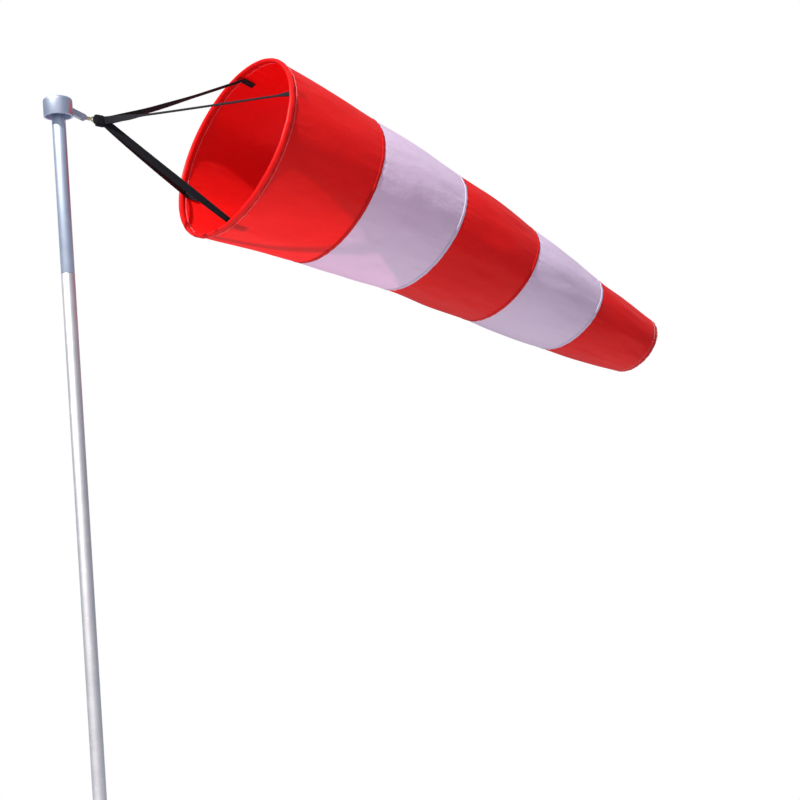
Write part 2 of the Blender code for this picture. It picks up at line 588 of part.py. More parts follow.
def make_leg(leg, spin, hoop_in_spin):
    """Sweeps the webbing's flat section along a leg's line, turning from upright to along the hoop."""
    points, sides = leg_route(leg, hoop_in_spin)
    along = (points[-1] - points[0]).normalized()
    sections = [leg_section(along, side) for side in sides]
    sections[0] = leg_section(Vector((1.0, 0.0, 0.0)), sides[0])
    bm = bmesh.new()
    rows = []
    for point, (across, through) in zip(points, sections):
        rows.append([bm.verts.new(point + a * across + b * through)
                     for a, b in ((1, 1), (1, -1), (-1, -1), (-1, 1))])
    for first, second in zip(rows, rows[1:]):
        for i in range(4):
            bm.faces.new((first[i], first[(i + 1) % 4], second[(i + 1) % 4], second[i]))
    bm.faces.new(reversed(rows[0]))
    bm.faces.new(rows[-1])
    bmesh.ops.recalc_face_normals(bm, faces=bm.faces)
    name = f"bridle_strap_{LEG_NAMES[leg]}"
    add(name, mesh_from(name, bm), BLACK_WEBBING, spin)


def make_tab(leg, hoop):
    """The leg's sewn end, a flat tab against the inside of the first band."""
    front, rear = tab_ends(leg)
    along = (rear - front).normalized()
    across = hoop_point(LEG_ANGLES[leg] + 0.5 * math.pi, 1.0)
    through = along.cross(across).normalized()
    axes = Matrix((along, through.cross(along), through)).transposed().to_4x4()
    size = Matrix.Diagonal((TAB_LENGTH, WEBBING_WIDTH, TAB_THICKNESS, 1.0))
    bm = bmesh.new()
    bmesh.ops.create_cube(bm, size=1.0, matrix=Matrix.Translation(0.5 * (front + rear)) @ axes @ size)
    name = f"strap_tab_{LEG_NAMES[leg]}"
    add(name, mesh_from(name, bm), BLACK_WEBBING, hoop)


# ---------------------------------------------------------------- mouth and sock


def make_hoop(hoop):
    bpy.ops.mesh.primitive_torus_add(major_radius=HOOP_R, minor_radius=HOOP_WIRE_R, major_segments=SOCK_SIDES,
                                     minor_segments=8)
    ring = bpy.context.active_object
    mesh = ring.data.copy()
    bpy.data.objects.remove(ring, do_unlink=True)
    mesh.shade_smooth()
    add("mouth_hoop", mesh, ROD_PLASTIC, hoop, turn=ALONG_X)


def hem_section(across, along, open_angle):
    """A ring of (radius, height) points round the hoop's rod, open at the back."""
    turn = 2.0 * (math.pi - open_angle) / HEM_SECTION_SIDES
    angles = [open_angle + turn * i for i in range(HEM_SECTION_SIDES + 1)]
    return [(HOOP_R + across * math.sin(a), along * math.cos(a)) for a in angles]


def make_hem(hoop):
    """A cloth sleeve round the hoop, open behind, where the first band is sewn between its lips."""
    lip = 0.5 * CLOTH + FIT
    open_angle = math.asin((lip + 0.5 * CLOTH) / (HOOP_WIRE_R + FIT))
    inner = hem_section(HOOP_WIRE_R + FIT, HEM_INNER_HALF_LENGTH, open_angle)
    outer = hem_section(HOOP_SECTION_R, HEM_HALF_LENGTH, open_angle)
    profile = outer + list(reversed(inner))
    turned("mouth_hem", profile, RED_CLOTH, SOCK_SIDES, ring=True, parent=hoop, turn=ALONG_X)


def loft(rings, name):
    """Bridges circles, each (place, droop, radius), into an open tube whose faces look outwards."""
    bm = bmesh.new()
    loops = []
    for place, droop, radius in rings:
        matrix = Matrix.Translation(place) @ Matrix.Rotation(droop + 0.5 * math.pi, 4, "Y")
        made = bmesh.ops.create_circle(bm, cap_ends=False, segments=SOCK_SIDES, radius=radius, matrix=matrix)
        loops.append({e for v in made["verts"] for e in v.link_edges})
    for first, second in zip(loops, loops[1:]):
        bmesh.ops.bridge_loops(bm, edges=list(first | second))
    bmesh.ops.recalc_face_normals(bm, faces=bm.faces)
    face = next(iter(bm.faces))
    middle = sum((Vector(place) for place, _, _ in rings), Vector()) / len(rings)
    outward = face.calc_center_median() - middle
    outward.x = 0.0
    if face.normal.dot(outward) < 0.0:
        bmesh.ops.reverse_faces(bm, faces=bm.faces)
    for face in bm.faces:
        face.smooth = True
    return mesh_from(name, bm)


def seam_offset(band):
    """Where a band's rear seam lies and how it leans, seen from its front seam."""
    front = HOOP_DROOP if band == 0 else SEAM_DROOPS[band - 1]
    lean = BAND_DROOPS[band] - front
    place = Vector((BAND_LENGTH * math.cos(lean), 0.0, -BAND_LENGTH * math.sin(lean)))
    return place, SEAM_DROOPS[band] - front


def make_band(band, parent):
    """One band of cloth. Its front edge is tucked into the band ahead on a sphere about the seam's middle,
    so the band can tilt there without cutting through it."""
    rear, lean = seam_offset(band)
    if band == 0:
        rings = [(Vector((HEM_HALF_LENGTH, 0.0, 0.0)), 0.0, FIRST_BAND_R)]
    else:
        ball_r = BAND_RADII[band - 1] - CLOTH - TUCK_PLAY
        rings = [(Vector((-ball_r * math.sin(a), 0.0, 0.0)), 0.0, ball_r * math.cos(a)) for a in TUCK_ANGLES]
    rings.append((rear, lean, BAND_RADII[band]))
    name = f"sock_band_{band + 1}"
    cloth = WHITE_CLOTH if band % 2 else RED_CLOTH
    obj = add(name, loft(rings, name), cloth, parent)
    wall = obj.modifiers.new("cloth", "SOLIDIFY")
    wall.thickness = CLOTH
    wall.offset = -1.0


def make_sock(hoop):
    make_hoop(hoop)
    make_hem(hoop)
    seam = hoop
    for band in range(len(BAND_RADII)):
        make_band(band, seam)
        place, lean = seam_offset(band)
        if band + 1 < len(BAND_RADII):
            seam = frame(f"seam_{band + 1}", seam, place, lean)


def main():
    make_pole()
    make_spindle()
    ball_turn = frame("ball_turn", None, (0.0, 0.0, BEARING_MIDDLE))
    head_turn = frame("head_turn", None, (0.0, 0.0, CAP_MIDDLE))
    make_bearing(ball_turn, head_turn)
    cap = make_cap(head_turn)
    pin = (CAP_R + ARM_REACH, -ARM_DROP)
    make_arm(head_turn, cap, pin)
    make_swivel_pin(head_turn, pin)
    swing = frame("swivel_swing", head_turn, (pin[0], 0.0, pin[1]), PULL_DROOP)
    make_swivel_body(swing)
    spin = frame("swivel_spin", swing, (0.0, 0.0, 0.0))
    make_swivel_eye(spin)
    make_knot(spin)
    hoop_place, hoop_lean = (BRIDLE_REACH, 0.0, 0.0), HOOP_DROOP - PULL_DROOP
    hoop_in_spin = Matrix.Translation(hoop_place) @ Matrix.Rotation(hoop_lean, 4, "Y")
    hoop = frame("hoop", spin, hoop_place, hoop_lean)
    for leg in range(len(LEG_NAMES)):
        make_leg(leg, spin, hoop_in_spin)
        make_tab(leg, hoop)
    make_sock(hoop)


main()
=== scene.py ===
# %% [markdown]
# # A windsock on its pole
#
# This lesson dresses a working model of a small windsock in cloth, webbing and metal. The model already
# turns, swings and bends at its joints. Here every visible surface gets its real shape and its real finish,
# and every new piece is told which moving body carries it.
#
# We start with the frame: the bodies, the joints and the solids that belong to them. The first thing to
# keep is the size of the whole object, so that we can write it beside the size of our own pieces at the end.

import json
import math

import bmesh
import bpy
from mathutils import Matrix, Vector, noise
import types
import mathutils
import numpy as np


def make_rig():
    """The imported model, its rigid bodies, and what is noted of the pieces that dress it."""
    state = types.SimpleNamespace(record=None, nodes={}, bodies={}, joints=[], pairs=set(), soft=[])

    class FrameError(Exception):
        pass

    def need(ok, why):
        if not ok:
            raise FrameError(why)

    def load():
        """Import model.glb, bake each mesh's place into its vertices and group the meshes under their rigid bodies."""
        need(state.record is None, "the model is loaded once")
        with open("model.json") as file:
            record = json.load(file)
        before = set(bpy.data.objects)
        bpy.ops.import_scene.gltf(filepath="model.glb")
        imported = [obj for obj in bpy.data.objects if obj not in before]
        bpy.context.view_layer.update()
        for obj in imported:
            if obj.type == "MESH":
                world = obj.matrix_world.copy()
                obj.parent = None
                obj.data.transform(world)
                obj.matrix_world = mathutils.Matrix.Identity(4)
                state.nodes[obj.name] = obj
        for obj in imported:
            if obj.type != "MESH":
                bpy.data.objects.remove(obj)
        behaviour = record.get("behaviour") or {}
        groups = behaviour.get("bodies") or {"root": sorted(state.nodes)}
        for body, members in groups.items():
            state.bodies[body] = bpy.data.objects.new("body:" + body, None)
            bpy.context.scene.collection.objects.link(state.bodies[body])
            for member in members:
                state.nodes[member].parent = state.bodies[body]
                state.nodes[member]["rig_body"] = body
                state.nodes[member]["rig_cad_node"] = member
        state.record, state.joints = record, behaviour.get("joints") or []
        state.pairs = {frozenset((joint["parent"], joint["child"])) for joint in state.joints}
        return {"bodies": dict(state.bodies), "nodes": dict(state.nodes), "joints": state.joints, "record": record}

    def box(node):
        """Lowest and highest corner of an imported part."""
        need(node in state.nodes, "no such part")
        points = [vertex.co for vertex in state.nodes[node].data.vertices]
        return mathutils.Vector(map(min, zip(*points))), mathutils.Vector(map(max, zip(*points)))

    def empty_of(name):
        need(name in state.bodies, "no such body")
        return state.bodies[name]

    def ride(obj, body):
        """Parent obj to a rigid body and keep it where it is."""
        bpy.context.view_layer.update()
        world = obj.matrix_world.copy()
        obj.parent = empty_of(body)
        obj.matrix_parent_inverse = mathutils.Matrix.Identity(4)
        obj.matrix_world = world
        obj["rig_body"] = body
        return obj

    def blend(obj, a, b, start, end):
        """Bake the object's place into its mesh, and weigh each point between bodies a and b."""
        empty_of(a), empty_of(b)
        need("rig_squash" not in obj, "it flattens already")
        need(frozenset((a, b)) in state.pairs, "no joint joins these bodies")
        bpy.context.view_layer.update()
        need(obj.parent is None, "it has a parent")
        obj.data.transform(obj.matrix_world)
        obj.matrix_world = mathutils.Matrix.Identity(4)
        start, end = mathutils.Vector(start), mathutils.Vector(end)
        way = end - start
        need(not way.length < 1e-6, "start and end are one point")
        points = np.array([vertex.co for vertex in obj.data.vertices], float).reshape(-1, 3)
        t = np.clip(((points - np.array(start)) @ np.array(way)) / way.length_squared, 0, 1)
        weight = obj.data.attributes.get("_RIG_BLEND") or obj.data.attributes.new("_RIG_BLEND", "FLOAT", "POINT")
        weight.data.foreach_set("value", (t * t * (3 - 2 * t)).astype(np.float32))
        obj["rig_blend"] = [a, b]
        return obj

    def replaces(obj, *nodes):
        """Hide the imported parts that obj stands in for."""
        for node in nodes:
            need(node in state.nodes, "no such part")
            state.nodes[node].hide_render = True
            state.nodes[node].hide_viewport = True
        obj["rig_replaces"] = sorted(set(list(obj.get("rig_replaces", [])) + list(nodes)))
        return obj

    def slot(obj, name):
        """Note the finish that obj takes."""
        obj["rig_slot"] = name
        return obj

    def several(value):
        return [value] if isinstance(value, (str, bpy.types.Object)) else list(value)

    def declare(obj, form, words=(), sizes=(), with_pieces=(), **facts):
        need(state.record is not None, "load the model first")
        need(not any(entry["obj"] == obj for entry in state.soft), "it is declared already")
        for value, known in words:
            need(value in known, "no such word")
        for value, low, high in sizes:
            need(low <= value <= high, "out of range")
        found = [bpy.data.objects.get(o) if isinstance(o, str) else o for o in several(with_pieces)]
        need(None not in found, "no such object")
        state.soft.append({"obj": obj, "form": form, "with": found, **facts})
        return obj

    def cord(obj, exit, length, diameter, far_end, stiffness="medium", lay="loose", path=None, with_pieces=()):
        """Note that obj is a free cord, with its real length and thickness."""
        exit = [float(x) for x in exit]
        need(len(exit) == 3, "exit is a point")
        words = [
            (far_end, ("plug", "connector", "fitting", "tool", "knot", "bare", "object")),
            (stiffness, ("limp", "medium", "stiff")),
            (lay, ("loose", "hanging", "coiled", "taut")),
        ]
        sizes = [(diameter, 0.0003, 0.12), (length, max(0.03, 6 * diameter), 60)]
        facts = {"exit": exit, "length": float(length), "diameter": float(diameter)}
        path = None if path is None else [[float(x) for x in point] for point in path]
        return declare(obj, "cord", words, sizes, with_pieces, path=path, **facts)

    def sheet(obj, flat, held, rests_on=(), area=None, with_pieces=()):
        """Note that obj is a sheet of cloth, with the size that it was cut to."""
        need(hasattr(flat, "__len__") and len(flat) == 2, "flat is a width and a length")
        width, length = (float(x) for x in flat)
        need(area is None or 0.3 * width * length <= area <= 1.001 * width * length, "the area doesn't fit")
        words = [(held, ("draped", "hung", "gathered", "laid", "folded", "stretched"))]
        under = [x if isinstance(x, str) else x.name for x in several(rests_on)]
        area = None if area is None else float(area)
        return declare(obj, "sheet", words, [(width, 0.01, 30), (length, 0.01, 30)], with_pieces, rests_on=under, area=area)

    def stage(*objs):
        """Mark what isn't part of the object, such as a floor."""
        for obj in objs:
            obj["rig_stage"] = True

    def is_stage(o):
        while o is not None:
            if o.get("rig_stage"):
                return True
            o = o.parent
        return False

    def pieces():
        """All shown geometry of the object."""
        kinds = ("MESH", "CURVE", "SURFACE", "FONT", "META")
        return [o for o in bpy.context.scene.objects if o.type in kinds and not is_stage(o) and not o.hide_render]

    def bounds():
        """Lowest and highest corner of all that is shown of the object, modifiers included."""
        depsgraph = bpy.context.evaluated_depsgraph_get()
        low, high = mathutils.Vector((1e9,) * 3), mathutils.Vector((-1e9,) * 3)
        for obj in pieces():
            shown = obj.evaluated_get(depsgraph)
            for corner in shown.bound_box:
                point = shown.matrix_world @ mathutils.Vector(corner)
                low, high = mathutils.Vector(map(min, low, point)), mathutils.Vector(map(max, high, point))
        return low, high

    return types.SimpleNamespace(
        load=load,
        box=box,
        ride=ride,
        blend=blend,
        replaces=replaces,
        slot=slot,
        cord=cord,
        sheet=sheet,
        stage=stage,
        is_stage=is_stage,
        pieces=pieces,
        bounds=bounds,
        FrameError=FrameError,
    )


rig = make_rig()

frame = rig.load()
model_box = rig.bounds()
joints = {joint["name"]: joint for joint in frame["record"]["behaviour"]["joints"]}
print("bodies:", ", ".join(frame["bodies"]))
print("joints:", ", ".join(joints))

# %% [markdown]
# ## Where things are
#
# A windsock is a chain of frames. The swivel hangs from a pin on the cap, the bridle pulls along a line that
# droops a few degrees, and each seam of the sock has its own centre. We read the pin and the seams from
# the joints, and we work out the mouth from the pull line. A droop is an angle below the horizontal.

# %% Frames of the bridle, the mouth and the seams
MM = 0.001
PIN = Vector(joints["swivel_swing"]["pos_m"])
PULL_DROOP = math.radians(4.0)
MOUTH_DROOP = math.radians(20.0)
BRIDLE_REACH = 0.268

bridle_frame = Matrix.Translation(PIN) @ Matrix.Rotation(PULL_DROOP, 4, "Y")
mouth_frame = (bridle_frame @ Matrix.Translation((BRIDLE_REACH, 0.0, 0.0))
               @ Matrix.Rotation(MOUTH_DROOP - PULL_DROOP, 4, "Y"))
mouth_centre = mouth_frame.translation.copy()
print("mouth centre:", [round(value, 4) for value in mouth_centre])

# %% [markdown]
# ## The camera
#
# The camera comes first, because it decides how much detail each piece needs. It stands about two metres
# from the pole, at head height, and looks slightly up at the mouth. A camera looks along its own -Z axis
# with +Y up, so its matrix is built from three directions: right, up and backwards.

# %% Camera
CAMERA_PLACE = Vector((-0.8530, -1.7763, 1.6127))
LOOK_ALONG = Vector((0.6371, 0.7684, 0.0612)).normalized()
LOOK_RIGHT = Vector((0.7705, -0.6329, -0.0756))
LOOK_RIGHT = (LOOK_RIGHT - LOOK_ALONG * LOOK_RIGHT.dot(LOOK_ALONG)).normalized()
SENSOR_WIDTH = 36.0
LENS = 58.5


def aim(right, along, place):
    """A camera's matrix from the directions that it has on its right and ahead of it."""
    up = right.cross(along)
    turned = Matrix((right, up, -along)).transposed().to_4x4()
    return Matrix.Translation(place) @ turned


camera = bpy.data.objects.new("camera", bpy.data.cameras.new("camera"))
bpy.context.scene.collection.objects.link(camera)
camera.data.sensor_width = SENSOR_WIDTH
camera.data.lens = LENS
camera.matrix_world = aim(LOOK_RIGHT, LOOK_ALONG, CAMERA_PLACE)
bpy.context.scene.camera = camera
print("camera lens:", LENS, "mm")

# %% [markdown]
# ## A small language for finishes
#
# A finish is a network of nodes. Written node by node it is long and hard to read, so we wrap a socket in a
# small class that overloads Python's operators. After this, `1 - mask * 0.5` adds the Math nodes for us.
# Colours go through a Mix node, because a Math node would turn them grey.

# %% Sockets that behave like numbers
class Value:
    """A node's output. Arithmetic on it adds Math nodes."""

    def __init__(self, finish, socket):
        self.finish = finish
        self.socket = socket

    def maths(self, operation, first, second=None):
        inputs = {0: first} if second is None else {0: first, 1: second}
        return self.finish.node("ShaderNodeMath", {"operation": operation}, inputs)

    def __add__(self, other):
        return self.maths("ADD", self, other)

    def __radd__(self, other):
        return self.maths("ADD", other, self)

    def __sub__(self, other):
        return self.maths("SUBTRACT", self, other)

    def __rsub__(self, other):
        return self.maths("SUBTRACT", other, self)

    def __mul__(self, other):
        return self.maths("MULTIPLY", self, other)

    def __rmul__(self, other):
        return self.maths("MULTIPLY", other, self)

    def __abs__(self):
        return self.maths("ABSOLUTE", self)

    def wave(self, pitch):
        """A smooth wave from 0 to 1 that repeats after each pitch."""
        return self.maths("SINE", self * (2.0 * math.pi / pitch)) * 0.5 + 0.5


class Finish:
    """A material with one Principled shader, and one method that adds any other node."""

    def __init__(self, name):
        self.material = bpy.data.materials.new(name)
        self.material.use_nodes = True
        self.tree = self.material.node_tree
        self.shader = self.tree.nodes["Principled BSDF"]
        self.output = self.tree.nodes["Material Output"]

    def connect(self, socket, value):
        if isinstance(value, Value):
            self.tree.links.new(value.socket, socket)
        elif isinstance(value, tuple) and len(value) == 3 and socket.type == "RGBA":
            socket.default_value = (*value, 1.0)
        else:
            socket.default_value = value

    def node(self, kind, settings=None, inputs=None, output=0):
        made = self.tree.nodes.new(kind)
        for name, value in (settings or {}).items():
            setattr(made, name, value)
        for key, value in (inputs or {}).items():
            self.connect(made.inputs[key], value)
        return Value(self, made.outputs[output])

    def set(self, **sockets):
        """Sets the shader's own sockets, with underscores for the spaces in their names."""
        for name, value in sockets.items():
            self.connect(self.shader.inputs[name.replace("_", " ")], value)

    def place(self):
        return self.node("ShaderNodeTexCoord", output="Object")

    def cloth_place(self):
        return self.node("ShaderNodeUVMap", {"uv_map": "cut"})

    def axis(self, vector, letter):
        return self.node("ShaderNodeSeparateXYZ", {}, {0: vector}, letter)

    def stretched(self, vector, scale):
        return self.node("ShaderNodeMapping", {}, {"Vector": vector, "Scale": scale})

    def speckle(self, vector, scale, detail=3.0, roughness=0.5):
        return self.node("ShaderNodeTexNoise", {},
                         {"Vector": vector, "Scale": scale, "Detail": detail, "Roughness": roughness})

    def between(self, value, low, high):
        """0 below low, 1 above high, and a smooth step from one to the other."""
        return self.node("ShaderNodeMapRange", {"interpolation_type": "SMOOTHSTEP"},
                         {"Value": value, "From Min": low, "From Max": high})

    def mix(self, mask, first, second):
        return self.node("ShaderNodeMix", {"data_type": "RGBA"}, {0: mask, 6: first, 7: second}, 2)

    def bump(self, height, distance, strength=1.0, under=None):
        inputs = {"Height": height, "Distance": distance, "Strength": strength}
        if under is not None:
            inputs["Normal"] = under
        return self.node("ShaderNodeBump", {}, inputs)


print("finish kit ready")

# %% [markdown]
# ## Metal
#
# The cap and the pole's upper tube are satin aluminium, with a cool blue tone that is a painted reflection of a blue
# sky. The lower tube is a greyer drawn tube. Drawn and turned metal has fine lines in one direction, which stretch
# every highlight,
# so we stretch a noise pattern: along the tube for the pole, and round the axis for the cap. The
# roughness follows the same lines, and a slower noise adds the handling marks that make metal look used.

# %% Metal finishes
def metal(name, light, dark, stretch, roughness, line_depth=0.02 * MM):
    """Satin metal whose fine lines run along the axis that stretch makes long."""
    finish = Finish(name)
    place = finish.place()
    lines = finish.speckle(finish.stretched(place, stretch), 1.0, 4.0, 0.65)
    marks = finish.speckle(place, 38.0, 4.0, 0.6)
    scuffs = finish.between(finish.speckle(place, 140.0, 3.0, 0.55), 0.60, 0.74)
    finish.set(Base_Color=finish.mix(lines * 0.45 + marks * 0.55, dark, light),
               Roughness=lines * 0.10 + marks * 0.12 + scuffs * 0.10 + roughness,
               Normal=finish.bump(lines + scuffs * 0.6, line_depth),
               Metallic=1.0)
    return finish.material


ALONG_POLE = (900.0, 900.0, 5.0)
ROUND_AXIS = (120.0, 120.0, 1600.0)
EVERY_WAY = (420.0, 420.0, 420.0)
# The blue in these two metals is a painted reflection of a blue sky, put into their own colour.
blue_aluminium = metal("blue_aluminium", (0.76, 0.83, 0.96), (0.56, 0.64, 0.80), ROUND_AXIS, 0.32)
blue_tube = metal("blue_tube", (0.70, 0.78, 0.90), (0.52, 0.60, 0.74), ALONG_POLE, 0.40)
grey_tube = metal("grey_tube", (0.82, 0.81, 0.82), (0.68, 0.67, 0.69), ALONG_POLE, 0.42)
grey_aluminium = metal("grey_aluminium", (0.70, 0.70, 0.72), (0.52, 0.52, 0.55), EVERY_WAY, 0.34)
# The steel's violet grey is painted shade: the tint of a shadowed arm is put into the metal's own colour.
steel = metal("steel", (0.62, 0.60, 0.70), (0.40, 0.39, 0.48), EVERY_WAY, 0.27, 0.04 * MM)
brass = metal("brass", (0.80, 0.66, 0.42), (0.50, 0.38, 0.20), EVERY_WAY, 0.28, 0.03 * MM)
print("metals:", 6)

# %% [markdown]
# ## Plastic
#
# The foot plug is moulded black plastic and the hoop is a pale fibreglass rod. Moulded plastic has a fine
# random texture, a little dust in its low places, and a broad soft highlight.

# %% Plastic finishes
def plastic(name, colour, dust, roughness):
    finish = Finish(name)
    place = finish.place()
    grain = finish.speckle(place, 900.0, 2.0)
    cloud = finish.speckle(place, 45.0, 3.0)
    finish.set(Base_Color=finish.mix(finish.between(cloud, 0.45, 0.75) * 0.5, colour, dust),
               Roughness=cloud * 0.15 + roughness,
               Normal=finish.bump(grain, 0.03 * MM))
    return finish.material


black_plastic = plastic("black_plastic", (0.02, 0.02, 0.022), (0.07, 0.068, 0.065), 0.45)
rod_plastic = plastic("rod_plastic", (0.78, 0.77, 0.72), (0.62, 0.60, 0.55), 0.38)
print("plastics:", 2)

# %% [markdown]
# ## Nylon
#
# The sock is light woven nylon with a satin face. Three things make it look like nylon and not like
# painted card: a sheen that spreads the light along the folds, light that comes through from the other
# side, and a weave. The weave here is a ripstop: fine threads with a stronger one every few millimetres.
# It is laid out on the cloth's own flat cut, so it follows the cloth round the sock and bends with it.
#
# The light that comes through is a Translucent shader, mixed with the surface by a constant share.

# %% Nylon finishes
RIPSTOP_PITCH = 6.0 * MM
THREAD_PITCH = 0.9 * MM
CREASE_DEPTH = 1.5 * MM
WEAVE_DEPTH = 0.06 * MM
DIRT_COLOUR = (0.25, 0.20, 0.19)


def nylon(name, painted_lit_tone, painted_shade_tone, glow, glow_share, roughness):
    """Satin ripstop nylon. painted_lit_tone and painted_shade_tone are painted lit and shaded tones of its face
    colour, and glow is the light that comes through, tinted where light bounced from other cloth is painted into it.
    """
    finish = Finish(name)
    cut = finish.cloth_place()
    around, along = finish.axis(cut, "X"), finish.axis(cut, "Y")
    threads = around.wave(THREAD_PITCH) * along.wave(THREAD_PITCH)
    strong = finish.between(around.wave(RIPSTOP_PITCH), 0.93, 1.0) + finish.between(
        along.wave(RIPSTOP_PITCH), 0.93, 1.0)
    place = finish.place()
    cloud = finish.speckle(place, 7.0, 3.0, 0.55)
    crinkle = finish.speckle(finish.stretched(place, (1.0, 1.0, 1.6)), 46.0, 4.0, 0.6)
    dirt = finish.between(finish.speckle(place, 19.0, 4.0, 0.65), 0.58, 0.80)
    # Painted light: the face mixes the painted lit tone and the painted shade tone by a random cloud, and the
    # ripstop's stronger threads lean a tenth towards the painted shade tone.
    face = finish.mix(cloud, painted_shade_tone, painted_lit_tone)
    face = finish.mix(strong * 0.10, face, painted_shade_tone)
    face = finish.mix(dirt * 0.10, face, DIRT_COLOUR)
    crease = finish.bump(crinkle, CREASE_DEPTH, 0.7)
    relief = finish.bump(threads * 0.4 + strong * 0.6, WEAVE_DEPTH, 0.8, crease)
    finish.set(Base_Color=face, Roughness=crinkle * 0.14 + roughness, Normal=relief,
               Sheen_Weight=0.05, Sheen_Roughness=0.35, Specular_IOR_Level=0.32)
    through = finish.node("ShaderNodeBsdfTranslucent", {}, {"Color": glow, "Normal": crease})
    mixed = finish.node("ShaderNodeMixShader", {},
                        {0: glow_share, 1: Value(finish, finish.shader.outputs[0]), 2: through})
    finish.tree.links.new(mixed.socket, finish.output.inputs["Surface"])
    return finish.material


# Painted light: each cloth gets a painted lit tone and a painted shade tone of its colour. In the white cloth the lit
# tone is tinted blue for sky light, and the pink glow is painted light bounced from the red bands.
red_cloth = nylon("red_cloth", painted_lit_tone=(0.95, 0.016, 0.012), painted_shade_tone=(0.74, 0.007, 0.009),
                  glow=(1.0, 0.030, 0.022), glow_share=0.50, roughness=0.36)
white_cloth = nylon("white_cloth", painted_lit_tone=(0.82, 0.77, 0.96), painted_shade_tone=(0.74, 0.66, 0.86),
                    glow=(0.95, 0.58, 0.72), glow_share=0.34, roughness=0.36)
print("nylons:", 2)

# %% [markdown]
# ## Webbing and thread
#
# The bridle is flat polypropylene webbing, almost black. Its weave makes small ribs across the width that
# lean one way on one half and the other way on the other half, and its two edges are a firmer cord.
# The pattern reads the strap's own UV map, in metres along and across the strap.

# %% Webbing and thread finishes
WEBBING_WIDTH = 12.0 * MM
WEBBING_THICKNESS = 1.2 * MM
RIB_PITCH = 1.7 * MM
YARN_PITCH = 1.1 * MM
EDGE_CORD_START = 4.9 * MM
EDGE_CORD_FULL = 5.7 * MM
RIB_DEPTH = 0.28 * MM


def webbing(name, dark, light):
    finish = Finish(name)
    cut = finish.cloth_place()
    along, across = finish.axis(cut, "X"), finish.axis(cut, "Y")
    from_middle = abs(across - 0.5 * WEBBING_WIDTH)
    ribs = (along + from_middle * 0.8).wave(RIB_PITCH)
    yarns = across.wave(YARN_PITCH)
    edge = finish.between(from_middle, EDGE_CORD_START, EDGE_CORD_FULL)
    fuzz = finish.speckle(finish.place(), 700.0, 3.0, 0.6)
    dust = finish.speckle(finish.place(), 60.0, 3.0)
    height = ribs * 0.7 + yarns * 0.3 + edge * 0.5 + fuzz * 0.25
    finish.set(Base_Color=finish.mix(ribs * 0.35 + fuzz * 0.25 + edge * 0.2 + dust * 0.2, dark, light),
               Roughness=fuzz * 0.2 + 0.62, Normal=finish.bump(height, RIB_DEPTH),
               Specular_IOR_Level=0.12, Sheen_Weight=0.02, Sheen_Roughness=0.4)
    return finish.material


def thread(name, light, dark):
    finish = Finish(name)
    place = finish.place()
    twist = finish.speckle(finish.stretched(place, (1500.0, 1500.0, 1500.0)), 1.0, 2.0)
    finish.set(Base_Color=finish.mix(twist, dark, light), Roughness=twist * 0.2 + 0.5,
               Normal=finish.bump(twist, 0.05 * MM))
    return finish.material


black_webbing = webbing("black_webbing", (0.004, 0.004, 0.006), (0.020, 0.020, 0.026))
pale_thread = thread("pale_thread", (0.90, 0.74, 0.78), (0.72, 0.50, 0.56))
dark_thread = thread("dark_thread", (0.10, 0.10, 0.12), (0.04, 0.04, 0.05))
print("webbing and threads:", 3)

# %% [markdown]
# ## Cloth is cut flat
#
# Real cloth starts as a flat cut, and so does ours: a grid. Its UV map is the cut in metres, which is what
# the weave follows. Then a function says where each point of the cut goes in space, and the grid is
# wrapped there. Where a tube closes on itself, its two edges meet and their points are merged.

# %% Wrap a flat cut
def wrapped(name, across, along, width, length, where, material, slot, thickness=0.0, closed=False):
    """A grid of across by along faces, moved point by point to where(u, v), with u and v from 0 to 1."""
    bm = bmesh.new()
    layer = bm.loops.layers.uv.new("cut")
    bmesh.ops.create_grid(bm, x_segments=across, y_segments=along, size=0.5, calc_uvs=False)
    span = max(vert.co.x for vert in bm.verts)
    for face in bm.faces:
        face.smooth = True
        for loop in face.loops:
            u, v = 0.5 + 0.5 * loop.vert.co.x / span, 0.5 + 0.5 * loop.vert.co.y / span
            loop[layer].uv = (u * width, v * length)
    for vert in bm.verts:
        vert.co = where(0.5 + 0.5 * vert.co.x / span, 0.5 + 0.5 * vert.co.y / span)
    if closed:
        bmesh.ops.remove_doubles(bm, verts=bm.verts, dist=0.02 * MM)
    return finished(name, bm, material, slot, thickness)


def finished(name, bm, material, slot, thickness=0.0):
    """Turns a bmesh into a piece, with a wall if it has a thickness."""
    mesh = bpy.data.meshes.new(name)
    bm.to_mesh(mesh)
    bm.free()
    piece = bpy.data.objects.new(name, mesh)
    bpy.context.scene.collection.objects.link(piece)
    mesh.materials.append(material)
    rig.slot(piece, slot)
    if thickness:
        wall = piece.modifiers.new("wall", "SOLIDIFY")
        wall.thickness = thickness
        wall.offset = 0.0
    return piece


print("cutting table ready")

# %% [markdown]
# ## The route of each bridle leg
#
# Four webbing legs leave the sewn knot side by side and end inside the mouth, about a quarter turn apart.
# A leg that is pulled by the wind is straight, and only its flat section turns on the way: upright at the
# knot, along the hoop at the mouth. The route is worked out in the bridle's frame, and its points are also
# what the leg tells the frame as a cord.

